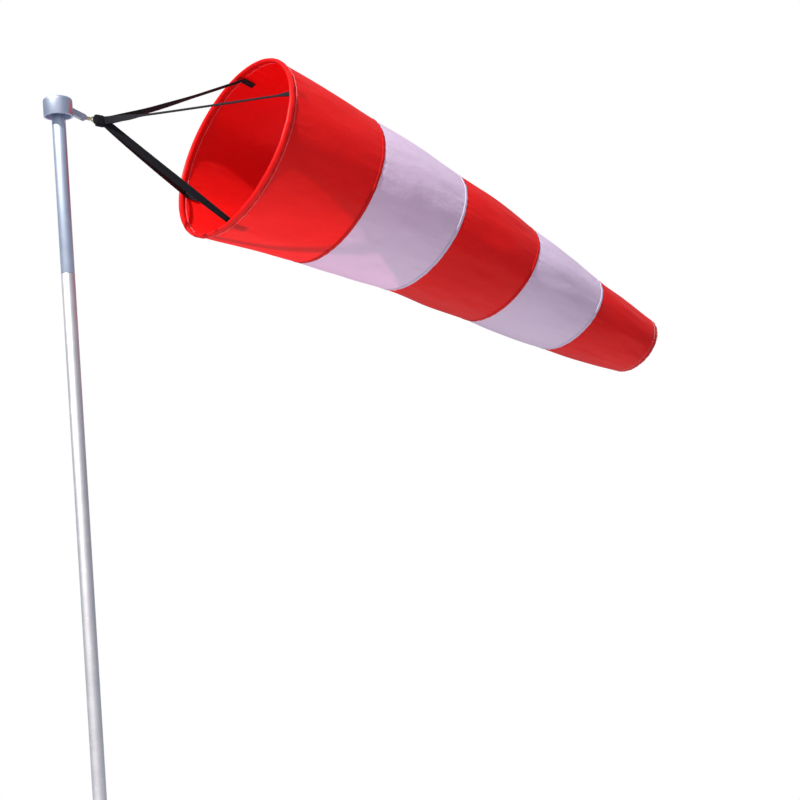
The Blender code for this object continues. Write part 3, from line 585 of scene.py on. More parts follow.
# %% Bridle routes
LEG_NAMES = ("top", "near", "bottom", "far")
LEG_LAYERS = (0.5, -1.5, -0.5, 1.5)
LEG_SPACING = 2.2 * MM
LEG_ANGLES = [math.radians(a) for a in (-18.0, 66.0, 162.0, 252.0)]
KNOT_END = 33.1 * MM
LEG_START_HEIGHT = 1.0 * MM
BAND_LENGTH = 0.2015
CLOTH = 0.6 * MM
HOOP_R = 156.5 * MM
HEM_HALF_LENGTH = 5.4 * MM
FRONT_R = 156.8 * MM
FIRST_SEAM_R = 0.1393
FIRST_BAND_LEAN = math.radians(-4.6)
TAB_START = 1.5 * MM
TAB_LENGTH = 24.0 * MM
TAB_INSET = 2.3 * MM
LEG_OVER_TAB = 1.4 * MM
LEG_END_GAP = 1.5 * MM
LEG_STEPS = 56


def mouth_point(angle, radius, behind=0.0):
    """A point in the mouth's frame. The angle runs from the top towards the near side."""
    return Vector((behind, -radius * math.sin(angle), radius * math.cos(angle)))


def tab_place(leg, distance, inset=TAB_INSET):
    """A point inside the first band's wall, at a distance behind the hem, in the world."""
    share = distance / BAND_LENGTH
    rear = Vector((BAND_LENGTH * math.cos(FIRST_BAND_LEAN), 0.0, -BAND_LENGTH * math.sin(FIRST_BAND_LEAN)))
    radius = FRONT_R + (FIRST_SEAM_R - FRONT_R) * share - inset
    return mouth_frame @ (Vector((HEM_HALF_LENGTH, 0.0, 0.0)).lerp(rear, share)
                          + mouth_point(LEG_ANGLES[leg], radius))


def leg_ends(leg):
    start = bridle_frame @ Vector((KNOT_END, LEG_LAYERS[leg] * LEG_SPACING, LEG_START_HEIGHT))
    end = tab_place(leg, TAB_START, TAB_INSET + LEG_OVER_TAB)
    return start, end - (end - start).normalized() * LEG_END_GAP


for leg, name in enumerate(LEG_NAMES):
    first, last = leg_ends(leg)
    print(f"{name} leg: {(last - first).length:.3f} m")

# %% [markdown]
# ## Making a ribbon
#
# A ribbon is a flat cut wrapped along a route. At each point of the route we need two directions: along the
# ribbon, and across it. The across directions are given at a few places and turned smoothly in between,
# and made square to the route. A Solidify modifier gives the thickness and a small Bevel rounds the
# woven edge.

# %% Ribbon along a route
RIBBON_ACROSS = 6
WOVEN_EDGE = 0.28 * MM


def along_route(points, share):
    """The point at a share of the route, and the direction there."""
    position = share * (len(points) - 1)
    index = min(int(position), len(points) - 2)
    ahead = points[min(index + 2, len(points) - 1)] - points[max(index - 1, 0)]
    return points[index].lerp(points[index + 1], position - index), ahead.normalized()


def turned_side(sides, share):
    position = share * (len(sides) - 1)
    index = min(int(position), len(sides) - 2)
    step = position - index
    return sides[index].slerp(sides[index + 1], step * step * (3.0 - 2.0 * step))


def ribbon(name, points, sides, steps=LEG_STEPS, crown=0.0, pinch=None, thickness=WEBBING_THICKNESS):
    """Webbing along points, with its width turned through the directions in sides."""
    length = sum((b - a).length for a, b in zip(points, points[1:]))

    def where(u, v):
        place, along = along_route(points, u)
        side = turned_side(sides, u)
        side = (side - along * side.dot(along)).normalized()
        face = along.cross(side)
        half = 0.5 * WEBBING_WIDTH * (pinch(u) if pinch else 1.0)
        offset = 2.0 * v - 1.0
        return place + side * half * offset + face * crown * (1.0 - offset * offset)

    piece = wrapped(name, steps, RIBBON_ACROSS, length, WEBBING_WIDTH, where, black_webbing,
                    "black_webbing", thickness)
    rounding = piece.modifiers.new("woven edge", "BEVEL")
    rounding.width = WOVEN_EDGE
    rounding.segments = 2
    rounding.limit_method = "ANGLE"
    return piece, length


print("ribbon maker ready")

# %% [markdown]
# ## The bridle legs
#
# Each leg is straight, but not perfectly so: the top one is a little slack near the knot, where it has a
# shallow sag, and the flat sides roll slightly. The near leg leaves the knot upright and soon lies flat.
# Each leg is declared as a flat cord: its diameter is its width, it is taut, and it goes back into the
# object.

# %% Bridle legs
LEG_SAG = (4.0 * MM, 1.0 * MM, 1.5 * MM, 2.0 * MM)
ACROSS_BRIDLE = bridle_frame.to_3x3() @ Vector((0.0, 1.0, 0.42))
UPRIGHT = bridle_frame.to_3x3() @ Vector((0.0, 0.0, 1.0))
LEG_CROWN = 0.25 * MM
SAG_FORWARD = 0.7


def leg_points(leg):
    start, end = leg_ends(leg)
    points = []
    for i in range(LEG_STEPS + 1):
        share = i / LEG_STEPS
        sag = LEG_SAG[leg] * math.sin(math.pi * share ** SAG_FORWARD)
        points.append(start.lerp(end, share) - Vector((0.0, 0.0, sag)))
    return points


def leg_sides(leg):
    away = (mouth_frame.to_3x3() @ mouth_point(LEG_ANGLES[leg] + 0.5 * math.pi, 1.0)).normalized()
    if away.dot(UPRIGHT) < 0.0:
        away.negate()
    if LEG_NAMES[leg] == "near":
        flat = ACROSS_BRIDLE.normalized()
        return [UPRIGHT, UPRIGHT.slerp(flat, 0.45)] + [flat] * 8 + [away]
    if LEG_NAMES[leg] == "top":
        return [UPRIGHT, UPRIGHT.slerp(away, 0.7), away, away]
    return [UPRIGHT, UPRIGHT.slerp(away, 0.35), away]


for leg, name in enumerate(LEG_NAMES):
    points = leg_points(leg)
    strap, length = ribbon(f"strap_{name}", points, leg_sides(leg), crown=LEG_CROWN)
    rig.ride(strap, "mouth")
    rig.replaces(strap, f"bridle_strap_{name}")
    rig.cord(strap, exit=points[0], length=length, diameter=WEBBING_WIDTH, far_end="object",
            stiffness="limp", lay="taut", path=points)
    print(f"strap_{name}: {length:.3f} m")

# %% [markdown]
# ## Rows of stitches
#
# A seam is only believable with its thread. One stitch is a tiny squashed icosphere with twenty faces, so
# that hundreds of them stay light. A row places one at each step along a line of points, turned along the
# line and pressed flat on the cloth.

# %% Stitches
STITCH_PITCH = 3.2 * MM
STITCH_LENGTH = 2.3 * MM
STITCH_R = 0.32 * MM
STITCH_HEIGHT = 0.8
STITCH_FACES = 20
TAB_STITCH_PITCH = 2.4 * MM


def stitch_rows(name, rows, body, material):
    """Rows of (point, direction, outward) stitches as one piece that rides on a body."""
    bm = bmesh.new()
    for row in rows:
        for point, along, outward in row:
            side = outward.cross(along).normalized()
            axes = Matrix((along.normalized(), side, along.cross(side).normalized())).transposed().to_4x4()
            size = Matrix.Diagonal((0.5 * STITCH_LENGTH, STITCH_R, STITCH_R * STITCH_HEIGHT, 1.0))
            bmesh.ops.create_icosphere(bm, subdivisions=1, radius=1.0,
                                       matrix=Matrix.Translation(point) @ axes @ size)
    for face in bm.faces:
        face.smooth = True
    count = len(bm.faces) // STITCH_FACES
    piece = finished(name, bm, material, "black_webbing" if material is dark_thread else "white_cloth")
    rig.ride(piece, body)
    print(f"{name}: {count} stitches")


def straight_row(start, end, outward):
    count = max(2, round((end - start).length / TAB_STITCH_PITCH))
    return [(start.lerp(end, (i + 0.5) / count), end - start, outward) for i in range(count)]


print("needle ready")

# %% [markdown]
# ## The sewn knot
#
# The four legs are really two long straps. Each is folded double through the swivel's round eye, so four
# layers leave it side by side. A strap is much wider than the eye, so it bunches where it passes through.
# A short piece of the same webbing is wound twice round the four layers behind the eye and sewn through,
# which makes the dark block that carries the whole pull.

# %% Straps folded through the eye
EYE_PLACE = 15.9 * MM
EYE_R = 3.5 * MM
BEND_BEHIND_EYE = 1.9 * MM
FOLD_STEPS = 40
FOLD_THICKNESS = 0.9 * MM
FOLD_ROUNDNESS = 0.55
BUNCH_SHARE = 0.62
BUNCH_SHARPNESS = 6


def folded_strap(name, layer):
    """A strap from one side of the knot, round the eye's rear wire, to the other side."""
    half = layer * LEG_SPACING
    wire = EYE_PLACE + EYE_R
    route = []
    for i in range(FOLD_STEPS + 1):
        turn = math.pi * i / FOLD_STEPS
        squeeze = math.sin(turn)
        x = KNOT_END - (KNOT_END - wire + BEND_BEHIND_EYE + 0.5 * half) * squeeze ** FOLD_ROUNDNESS
        place = Vector((x, half * math.cos(turn), LEG_START_HEIGHT * (1.0 - squeeze)))
        route.append(bridle_frame @ place)
    return ribbon(name, route, [UPRIGHT, UPRIGHT], steps=FOLD_STEPS, thickness=FOLD_THICKNESS,
                  pinch=lambda u: 1.0 - BUNCH_SHARE * math.sin(math.pi * u) ** BUNCH_SHARPNESS)[0]


for name, layer in (("knot_strap_outer", 1.5), ("knot_strap_inner", 0.5)):
    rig.ride(folded_strap(name, layer), "mouth")
print("folded straps:", 2)

# %% Winding round the four layers
WINDING_HALF_DEPTH = 4.0 * MM
WINDING_TOP = 7.9 * MM
WINDING_BOTTOM = -8.9 * MM
WINDING_MIDDLE = 27.4 * MM
WINDING_SLANT = 5.0 * MM
WINDING_TURNS = 2
WINDING_SQUARENESS = 0.42
WINDING_GROWTH = 1.25 * MM
WINDING_POINTS = 97
WINDING_STEPS = 160
WINDING_CROWN = 0.3 * MM
WINDING_THICKNESS = 1.0 * MM


def winding_point(share, inwards):
    """A point on a rounded rectangle round the knot, seen along the pull line."""
    half_height = 0.5 * (WINDING_TOP - WINDING_BOTTOM) - inwards
    half_depth = WINDING_HALF_DEPTH - inwards
    angle = 2.0 * math.pi * share
    y = half_depth * math.copysign(abs(math.cos(angle)) ** WINDING_SQUARENESS, math.cos(angle))
    z = half_height * math.copysign(abs(math.sin(angle)) ** WINDING_SQUARENESS, math.sin(angle))
    return Vector((0.0, y, z + 0.5 * (WINDING_TOP + WINDING_BOTTOM)))


winding_route = []
for i in range(WINDING_POINTS):
    share = i / (WINDING_POINTS - 1)
    point = winding_point(share * WINDING_TURNS % 1.0, WINDING_GROWTH * share)
    slant = WINDING_SLANT * (share - 0.5)
    winding_route.append(bridle_frame @ (point + Vector((WINDING_MIDDLE + slant, 0.0, 0.0))))
pull_line = bridle_frame.to_3x3() @ Vector((1.0, 0.0, 0.0))
winding, _ = ribbon("knot_winding", winding_route, [pull_line] * 2, steps=WINDING_STEPS,
                    crown=WINDING_CROWN, thickness=WINDING_THICKNESS)
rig.ride(winding, "mouth")
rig.replaces(winding, "webbing_knot")
print("winding turns:", WINDING_TURNS)

# %% [markdown]
# ## Tabs inside the mouth
#
# Each leg ends in a tab that is sewn flat on the inside of the first band, just behind the hem. It is the
# same webbing, held by a box of stitches with a cross in it, which spreads the pull over the cloth.

# %% Tabs and their box stitching
TAB_STEPS = 12
TAB_BOX_HALF_WIDTH = 4.3 * MM
TAB_STITCH_LIFT = 0.75 * MM

for leg, name in enumerate(LEG_NAMES):
    points = [tab_place(leg, TAB_START + TAB_LENGTH * i / TAB_STEPS) for i in range(TAB_STEPS + 1)]
    side = (mouth_frame.to_3x3() @ mouth_point(LEG_ANGLES[leg] + 0.5 * math.pi, 1.0)).normalized()
    inward = (mouth_frame.to_3x3() @ mouth_point(LEG_ANGLES[leg], -1.0)).normalized()
    tab, _ = ribbon(f"tab_{name}", points, [side, side], steps=16)
    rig.ride(tab, "mouth")
    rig.replaces(tab, f"strap_tab_{name}")
    lift = inward * TAB_STITCH_LIFT
    reach = side * TAB_BOX_HALF_WIDTH
    corners = [points[1] + reach, points[-2] + reach, points[-2] - reach, points[1] - reach]
    corners = [corner + lift for corner in corners]
    rows = [straight_row(a, b, inward) for a, b in zip(corners, corners[1:] + corners[:1])]
    rows += [straight_row(corners[0], corners[2], inward), straight_row(corners[1], corners[3], inward)]
    stitch_rows(f"tab_stitches_{name}", rows, "mouth", dark_thread)

# %% [markdown]
# ## The mouth hem
#
# The hem is a sleeve of red cloth round the hoop. It is round in front, where the hoop fills it, and closes
# to a flat lip behind, where it is sewn to the sock. More cloth than hoop means puckers, and they run
# across the sleeve. We spin one section round the mouth's axis, then push each point in or out by a noise
# that follows the circle.

# %% Hem sleeve
HEM_SECTION = 20
HEM_STEPS = 288
HEM_HALF_DEPTH = 3.5 * MM
PUCKER = 1.5 * MM
PUCKER_SCALE = 21.0
WAVE = 0.5 * MM
WAVE_SCALE = 6.0


def round_mouth(co):
    """The angle round the mouth's axis of a point in the mouth's frame."""
    return math.atan2(-co.y, co.z)


def pucker_noise(angle, scale, seed):
    return noise.noise(Vector((math.cos(angle) * scale, math.sin(angle) * scale, seed)))


bm = bmesh.new()
made = bmesh.ops.create_circle(bm, cap_ends=False, segments=HEM_SECTION, radius=1.0)
for vert in made["verts"]:
    angle = math.atan2(vert.co.y, vert.co.x)
    behind = max(0.0, math.cos(angle))
    vert.co = Vector((HEM_HALF_LENGTH * math.cos(angle), 0.0,
                      HOOP_R + HEM_HALF_DEPTH * math.sin(angle) * (1.0 - 0.5 * behind ** 2)))
bmesh.ops.spin(bm, geom=bm.verts[:] + bm.edges[:], cent=(0.0, 0.0, 0.0), axis=(1.0, 0.0, 0.0),
               angle=2.0 * math.pi, steps=HEM_STEPS, use_merge=True, use_duplicate=False)
bmesh.ops.remove_doubles(bm, verts=bm.verts, dist=0.01 * MM)
bmesh.ops.recalc_face_normals(bm, faces=bm.faces)
for vert in bm.verts:
    angle = round_mouth(vert.co)
    radius = math.hypot(vert.co.y, vert.co.z)
    behind = max(0.0, vert.co.x / HEM_HALF_LENGTH)
    shift = (PUCKER * (0.25 + behind) * pucker_noise(angle, PUCKER_SCALE, 0.4)
             + WAVE * pucker_noise(angle, WAVE_SCALE, 3.1))
    wider = 1.0 + shift / radius
    vert.co = Vector((vert.co.x + 0.5 * shift, vert.co.y * wider, vert.co.z * wider))
layer = bm.loops.layers.uv.new("cut")
for face in bm.faces:
    face.smooth = True
    middle = round_mouth(face.calc_center_median())
    for loop in face.loops:
        angle = round_mouth(loop.vert.co)
        angle += 2.0 * math.pi * round((middle - angle) / (2.0 * math.pi))
        across = loop.vert.co.x + math.hypot(loop.vert.co.y, loop.vert.co.z)
        loop[layer].uv = (angle * HOOP_R, across)
bm.transform(mouth_frame)
hem = finished("mouth_sleeve", bm, red_cloth, "red_cloth")
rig.ride(hem, "mouth")
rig.replaces(hem, "mouth_hem")
print("hem faces:", len(hem.data.polygons))

# %% [markdown]
# ## The shape of the sock
#
# The sock hangs from its mouth in a gentle curve and narrows to its tail. Six rings describe it: the mouth,
# the four seams and the tail, each with a centre, a droop and a radius. Between them we read a smooth curve
# through the rings, so that the cloth flows from band to band without a kink.

# %% Rings of the sock
RING_DROOPS = [math.radians(a) for a in (22.7, 27.5, 30.3, 34.0, 29.0)]
RING_RADII = (FIRST_SEAM_R, 0.1232, 0.1075, 0.0885, 0.0640)
LAST_BAND_DROOP = math.radians(18.4)

centres = [mouth_centre] + [Vector(joints[f"seam_{i}"]["pos_m"]) for i in range(1, 5)]
last_band_line = Vector((math.cos(LAST_BAND_DROOP), 0.0, -math.sin(LAST_BAND_DROOP)))
centres.append(centres[-1] + BAND_LENGTH * last_band_line)
droops = [MOUTH_DROOP] + RING_DROOPS
radii = [FRONT_R] + list(RING_RADII)


def smooth_through(values, share):
    """A curve through evenly spaced values. Share counts in bands from the mouth."""
    last = len(values) - 1
    index = min(max(int(share), 0), last - 1)
    step = share - index
    before = values[index - 1] if index > 0 else values[0] * 2.0 - values[1]
    after = values[index + 2] if index + 2 <= last else values[last] * 2.0 - values[last - 1]
    first, second = values[index], values[index + 1]
    return 0.5 * (first * 2.0 + (second - before) * step
                  + (before * 2.0 - first * 5.0 + second * 4.0 - after) * step ** 2
                  + (first * 3.0 - before - second * 3.0 + after) * step ** 3)


def ring(share):
    """The centre, radius and directions of the sock's ring at a share, counted in bands."""
    droop = smooth_through(droops, share)
    up = Vector((math.sin(droop), 0.0, math.cos(droop)))
    back = Vector((math.cos(droop), 0.0, -math.sin(droop)))
    return smooth_through(centres, share), smooth_through(radii, share), up, back


print("tail centre:", [round(value, 4) for value in centres[-1]])

# %% [markdown]
# ## Folds and puckers
#
# Wind fills the sock, so each band swells slightly between its seams. Long soft folds run lengthwise, and
# each row of stitching gathers the cloth into short puckers that fade within a few centimetres. All of
# these are noise read on a circle, so that they close without a step, and each band has its own place in
# the noise, because each was sewn on its own.

# %% How far the cloth stands in or out
BAND_COUNT = 5
SWELL = (1.5 * MM, 2.8 * MM, 2.8 * MM, 2.2 * MM, 1.5 * MM)
FOLD = (2.2 * MM, 3.2 * MM, 3.2 * MM, 2.8 * MM, 2.4 * MM)
GATHER = (1.8 * MM, 1.5 * MM, 1.4 * MM, 1.3 * MM, 1.1 * MM)
GATHER_FADE = 0.030
LONG_FOLDS = 2.3
SHORT_FOLDS = 5.5
SHORT_FOLD_SHARE = 0.55
GATHERS = 15.0


def relief(share, angle):
    """The cloth's distance outwards from the ring, at a share counted in bands and an angle."""
    band = min(int(share), BAND_COUNT - 1)
    inside = min(max(share - band, 0.0), 1.0)
    middle = math.sin(math.pi * inside)
    around = Vector((math.cos(angle), math.sin(angle), 0.0))
    long_fold = noise.noise(around * LONG_FOLDS + Vector((0.0, 0.0, share * 1.1 + 5.0 * band)))
    short_fold = noise.noise(around * SHORT_FOLDS + Vector((0.0, 0.0, share * 2.6 + 9.0 * band)))
    to_seam = min(inside, 1.0 - inside) * BAND_LENGTH
    gather = noise.noise(around * GATHERS + Vector((0.0, 0.0, share * 3.0 + 2.0)))
    return (SWELL[band] * middle + FOLD[band] * middle * (long_fold + SHORT_FOLD_SHARE * short_fold)
            + GATHER[band] * gather * math.exp(-to_seam / GATHER_FADE))


def on_sock(share, angle, inset=0.0):
    """A point on the cloth, and the direction outwards there."""
    centre, radius, up, _ = ring(share)
    outward = up * math.cos(angle) + Vector((0.0, -1.0, 0.0)) * math.sin(angle)
    return centre + outward * (radius + relief(share, angle) - inset), outward


print("folds ready")

# %% [markdown]
# ## Five bands
#
# Each band is a flat cut, rolled into a tube and closed by merging its two edges. The front edge of each
# band but the first is tucked inside the band ahead. A band bends with both of its bodies: its front stays
# with the band ahead, and the rest turns with its own, over a few centimetres of cloth. That way no seam
# opens when the sock folds.

# %% Bands of cloth
BAND_BODIES = ("mouth", "band_2", "band_3", "band_4", "band_5")
FIRST_EDGE = 0.022
TUCK = 0.045
TUCK_INSET = 0.75 * MM
TUCK_FADE = 0.02
BAND_CLOTH = 0.45 * MM
BEND_LENGTH = 0.075
BAND_AROUND = 240
BAND_ALONG = 36


def make_band(band):
    front = FIRST_EDGE if band == 0 else band - TUCK
    rear = band + 1.0
    width = 2.0 * math.pi * max(radii[band], radii[band + 1])

    def where(u, v):
        share = front + (rear - front) * v
        inset = 0.0
        if share < band:
            inset = TUCK_INSET
        elif band and share < band + TUCK_FADE:
            inset = TUCK_INSET * (band + TUCK_FADE - share) / TUCK_FADE
        return on_sock(share, -2.0 * math.pi * u, inset)[0]

    cloth = white_cloth if band % 2 else red_cloth
    piece = wrapped(f"band_cloth_{band + 1}", BAND_AROUND, BAND_ALONG, width, BAND_LENGTH, where, cloth,
                    "white_cloth" if band % 2 else "red_cloth", BAND_CLOTH, closed=True)
    if band == 0:
        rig.ride(piece, "mouth")
    else:
        centre, _, _, back = ring(float(band))
        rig.blend(piece, BAND_BODIES[band - 1], BAND_BODIES[band], centre, centre + back * BEND_LENGTH)
    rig.replaces(piece, f"sock_band_{band + 1}")
    area = math.pi * (radii[band] + radii[band + 1]) * BAND_LENGTH
    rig.sheet(piece, flat=(width, BAND_LENGTH), held="stretched", area=area)
    print(f"band {band + 1}: cut {width:.3f} by {BAND_LENGTH:.3f} m, {area:.4f} square metres")


for band in range(BAND_COUNT):
    make_band(band)

# %% [markdown]
# ## Thread along the seams
#
# Every seam has two rows of pale thread on the outside, a few millimetres apart, and they ride with the band
# ahead, where the seam is stiff. The hem has a row on each side behind the hoop, and the tail has
# two rows round its folded edge.

# %% Seam stitching
SEAM_ROWS = (1.5 * MM, 4.6 * MM)
TAIL_ROWS = (2.0 * MM, 11.0 * MM)
HEM_ROW_SHARE = (HEM_HALF_LENGTH + 3.0 * MM) / BAND_LENGTH
THREAD_LIFT = 0.35 * MM


def sock_row(share, proud):
    """One row of stitches round the sock at a share."""
    _, radius, _, _ = ring(share)
    count = round(2.0 * math.pi * radius / STITCH_PITCH)
    points = []
    for i in range(count):
        angle = 2.0 * math.pi * i / count
        point, outward = on_sock(share, angle, -proud)
        ahead, _ = on_sock(share, angle + 0.01, -proud)
        points.append((point, ahead - point, outward))
    return points


for seam in range(1, BAND_COUNT):
    rows = [sock_row(seam - gap / BAND_LENGTH, THREAD_LIFT) for gap in SEAM_ROWS]
    stitch_rows(f"seam_thread_{seam}", rows, BAND_BODIES[seam - 1], pale_thread)
rows = [sock_row(BAND_COUNT - gap / BAND_LENGTH, THREAD_LIFT) for gap in TAIL_ROWS]
stitch_rows("tail_thread", rows, "band_5", pale_thread)
rows = [sock_row(HEM_ROW_SHARE, THREAD_LIFT), sock_row(HEM_ROW_SHARE, -THREAD_LIFT - CLOTH)]
stitch_rows("hem_thread", rows, "mouth", pale_thread)

# %% [markdown]
# ## Seam allowances and the tail's hem
#
# Each seam has a folded strip of the band ahead's cloth, laid over the seam on the outside, and the tail is
# turned in and sewn down. They are narrow, but they are what makes the edge of the cloth look sewn and not
# cut. Each is a narrow cut wrapped just outside or just inside the band.

# %% Folded strips
TAIL_FOLD = 0.062
SEAM_FOLD = 0.030
STRIP_ALONG = 3
STRIP_CLOTH = 0.5 * MM
TAIL_FOLD_INSET = 0.75 * MM
SEAM_FOLD_INSET = -0.50 * MM


def folded_strip(name, first, last, inset, body, cloth, slot):
    width = 2.0 * math.pi * ring(0.5 * (first + last))[1]

    def where(u, v):
        share = first + (last - first) * v
        return on_sock(share, -2.0 * math.pi * u, inset)[0]

    piece = wrapped(name, BAND_AROUND, STRIP_ALONG, width, (last - first) * BAND_LENGTH, where, cloth, slot,
                    STRIP_CLOTH, closed=True)
    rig.ride(piece, body)


folded_strip("tail_hem", BAND_COUNT - TAIL_FOLD, BAND_COUNT + 0.001, TAIL_FOLD_INSET, "band_5", red_cloth,
             "red_cloth")
for seam in range(1, BAND_COUNT):
    cloth = red_cloth if seam % 2 else white_cloth
    folded_strip(f"seam_fold_{seam}", seam - SEAM_FOLD, seam + 0.0005, SEAM_FOLD_INSET,
                 BAND_BODIES[seam - 1], cloth, "red_cloth" if seam % 2 else "white_cloth")
print("folded strips:", BAND_COUNT)

# %% [markdown]
# ## Turned metal
#
# The cap and the two tubes are round, so each is a profile spun about the pole's axis. A real turned part
# never has a knife edge: a lathe leaves a small chamfer. We bevel the sharp edges of the spun shape, and
# keep the edges between flat faces sharp in the shading.

# %% Spin a profile
SHARP_ANGLE = math.radians(40.0)
SMOOTH_ANGLE = math.radians(32.0)


def turned(name, profile, steps, material, slot, chamfer, body, node):
    """Spins a closed profile of (radius, height) points about the pole's axis."""
    bm = bmesh.new()
    verts = [bm.verts.new((radius, 0.0, height)) for radius, height in profile]
    edges = [bm.edges.new(pair) for pair in zip(verts, verts[1:] + verts[:1])]
    bmesh.ops.spin(bm, geom=verts + edges, cent=(0.0, 0.0, 0.0), axis=(0.0, 0.0, 1.0),
                   angle=2.0 * math.pi, steps=steps, use_merge=True, use_duplicate=False)
    bmesh.ops.remove_doubles(bm, verts=bm.verts, dist=0.001 * MM)
    bmesh.ops.dissolve_degenerate(bm, edges=bm.edges, dist=0.001 * MM)
    bmesh.ops.recalc_face_normals(bm, faces=bm.faces)
    sharp = [edge for edge in bm.edges if edge.is_manifold and edge.calc_face_angle() > SHARP_ANGLE]
    bmesh.ops.bevel(bm, geom=sharp, offset=chamfer, offset_type="OFFSET", segments=2, profile=0.5,
                    affect="EDGES", material=-1, clamp_overlap=True)
    for face in bm.faces:
        face.smooth = True
    piece = finished(name, bm, material, slot)
    piece.data.set_sharp_from_angle(angle=SMOOTH_ANGLE)
    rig.ride(piece, body)
    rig.replaces(piece, node)
    print(f"{name}: {len(piece.data.polygons)} faces")


# %% Pole tubes
POLE_R = 10.0 * MM
BORE_R = 8.5 * MM
TUBE_STEPS = 96
TUBE_CHAMFER = 0.35 * MM


def tube(name, node, material, slot):
    low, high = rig.box(node)
    profile = [(BORE_R, high[2]), (POLE_R, high[2]), (POLE_R, low[2]), (BORE_R, low[2])]
    turned(name, profile, TUBE_STEPS, material, slot, TUBE_CHAMFER, "pole", node)


tube("pole_tube_lower", "lower_pole", grey_tube, "grey_aluminium")
tube("pole_tube_upper", "upper_pole", blue_tube, "blue_aluminium")

# %% [markdown]
# ## The cap
#
# The cap is a turned cup with a rounded shoulder, open underneath, with a boss inside for the bearing. Its
# roof is not quite flat: a shallow turned step runs round it. The two screw holes behind the lug can't be
# seen, so they are left out here.

# %% Cap
low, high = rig.box("head_cap")
CAP_R = 21.5 * MM
SKIRT_R = 18.7 * MM
EDGE_R = 5.0 * MM
BOSS_R = 14.1 * MM
SEAT_R = 11.3 * MM
ROOF = 2.5 * MM
STEP_DEPTH = 0.4 * MM
STEP_R = 11.0 * MM
STEP_OUTER_R = 11.8 * MM
HOLE_R = 10.0 * MM
GROOVE_DEPTH = 1.0 * MM
GAP = 0.3 * MM
EDGE_STEPS = 12
roof_under = high[2] - ROOF
_, bearing_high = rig.box("bearing_outer_ring")
clip_low, clip_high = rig.box("bearing_circlip")
boss_low = clip_low[2] - 1.3 * MM
shoulder = []
for i in range(EDGE_STEPS + 1):
    angle = 0.5 * math.pi * (1.0 - i / EDGE_STEPS)
    shoulder.append((CAP_R - EDGE_R + EDGE_R * math.cos(angle), high[2] - EDGE_R + EDGE_R * math.sin(angle)))
cap_profile = [(0.0, high[2] - STEP_DEPTH), (STEP_R, high[2] - STEP_DEPTH), (STEP_OUTER_R, high[2])]
cap_profile += shoulder
cap_profile += [(CAP_R, low[2]), (SKIRT_R, low[2]), (SKIRT_R, roof_under), (BOSS_R, roof_under),
                (BOSS_R, boss_low), (SEAT_R, boss_low), (SEAT_R, clip_low[2] - GAP),
                (SEAT_R + GROOVE_DEPTH, clip_low[2] - GAP), (SEAT_R + GROOVE_DEPTH, clip_high[2] + GAP),
                (SEAT_R, clip_high[2] + GAP), (SEAT_R, bearing_high[2] + GAP),
                (HOLE_R, bearing_high[2] + GAP), (HOLE_R, roof_under), (0.0, roof_under)]
turned("cap_shell", cap_profile, 128, blue_aluminium, "blue_aluminium", 0.30 * MM, "head", "head_cap")

# %% [markdown]
# ## Finishes on the solids that stay
#
# The lug, the swivel, the bearing and the screws already have the right shape, so they keep it and only
# get their finishes. Each solid's material slots are filled one by one.

# %% Finishes on the remaining solids
FINISHES = {
    "foot_plug": black_plastic, "joint_ferrule": steel, "ferrule_rivet_lower": steel,
    "ferrule_rivet_upper": steel, "spindle_plug": grey_aluminium, "spindle_washer": steel,
    "spindle_screw": steel, "bearing_inner_ring": steel, "bearing_outer_ring": steel,
    "bearing_circlip": steel, "bearing_cage": black_plastic, "cap_arm": steel, "arm_screw_upper": steel,
    "arm_screw_lower": steel, "swivel_pin": steel, "swivel_body": brass, "swivel_eye": brass,
    "mouth_hoop": rod_plastic,
}
FINISHES.update({f"bearing_ball_{i}": steel for i in range(1, 8)})
for name, material in FINISHES.items():
    slots = frame["nodes"][name].material_slots
    for entry in slots:
        entry.material = material
print("solids with a new finish:", len(FINISHES))

# %% [markdown]
# ## Floor and light
#
# A plain pale floor and a pale world keep the attention on the object. One large lamp stands for the sun:
# high on the left, in front of the mouth, so that it shines into the sock and lights the cloth from
# inside. A wide soft lamp behind the camera lifts the shadows.

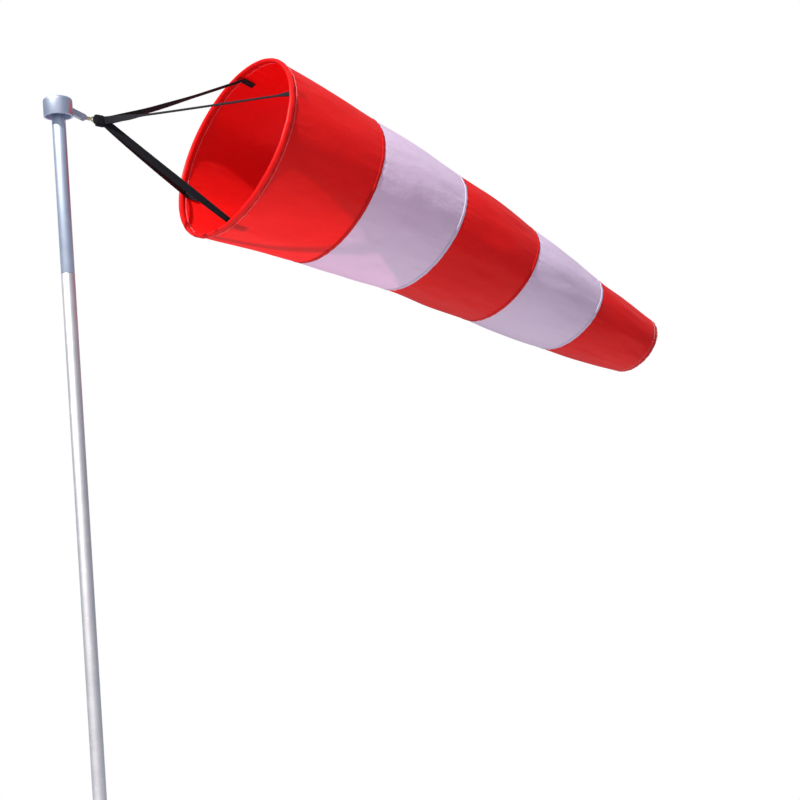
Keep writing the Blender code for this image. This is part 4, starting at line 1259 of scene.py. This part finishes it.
# %% Floor
FLOOR_R = 3.6
FLOOR_CENTRE = (0.4, 0.0, -0.5 * MM)
FLOOR_DARK = (0.50, 0.50, 0.51)
FLOOR_LIGHT = (0.54, 0.54, 0.55)
bm = bmesh.new()
bmesh.ops.create_circle(bm, cap_ends=True, segments=96, radius=FLOOR_R,
                        matrix=Matrix.Translation(FLOOR_CENTRE))
floor_finish = Finish("floor_paint")
floor_cloud = floor_finish.speckle(floor_finish.place(), 2.0, 3.0)
floor_finish.set(Base_Color=floor_finish.mix(floor_cloud, FLOOR_DARK, FLOOR_LIGHT), Roughness=0.7)
mesh = bpy.data.meshes.new("floor")
bm.to_mesh(mesh)
bm.free()
mesh.materials.append(floor_finish.material)
floor = bpy.data.objects.new("floor", mesh)
bpy.context.scene.collection.objects.link(floor)
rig.stage(floor)
print("floor radius:", FLOOR_R, "m")

# %% World and lamps
world = bpy.data.worlds.new("pale_room")
bpy.context.scene.world = world
world.use_nodes = True
sky = world.node_tree.nodes["Background"]
sky.inputs["Color"].default_value = (0.76, 0.85, 1.0, 1.0)
sky.inputs["Strength"].default_value = 0.37
backdrop = world.node_tree.nodes.new("ShaderNodeBackground")
backdrop.inputs["Color"].default_value = (1.0, 1.0, 1.0, 1.0)
seen = world.node_tree.nodes.new("ShaderNodeLightPath")
either = world.node_tree.nodes.new("ShaderNodeMixShader")
for socket, source in ((either.inputs[0], seen.outputs["Is Camera Ray"]), (either.inputs[1], sky.outputs[0]),
                       (either.inputs[2], backdrop.outputs[0]),
                       (world.node_tree.nodes["World Output"].inputs["Surface"], either.outputs[0])):
    world.node_tree.links.new(source, socket)


def lamp(name, kind, toward, energy, colour, **settings):
    """A lamp whose light travels along toward."""
    data = bpy.data.lights.new(name, kind)
    data.energy = energy
    data.color = colour
    for key, value in settings.items():
        setattr(data, key, value)
    made = bpy.data.objects.new(name, data)
    bpy.context.scene.collection.objects.link(made)
    made.rotation_euler = Vector(toward).to_track_quat("-Z", "Y").to_euler()
    return made


lamp("sun", "SUN", (0.63, 0.18, -0.76), 6.4, (1.0, 0.98, 0.95), angle=math.radians(1.5))
lamp("fill", "SUN", (0.45, 0.85, -0.20), 0.26, (1.0, 0.78, 0.84), angle=math.radians(60.0))
bpy.context.scene.view_settings.view_transform = "Standard"
print("lamps:", 2)

# %% [markdown]
# ## Write the size and finish
#
# The dressed object stays within the working model's box, apart from a little cloth that stands
# proud. Both boxes are written side by side.

# %% Sizes and the last line
def as_lists(box):
    return [[float(value) for value in corner] for corner in box]


with open("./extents.json", "w") as out:
    json.dump({"cad": as_lists(model_box), "visual": as_lists(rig.bounds())}, out)
print("pieces:", len(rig.pieces()))
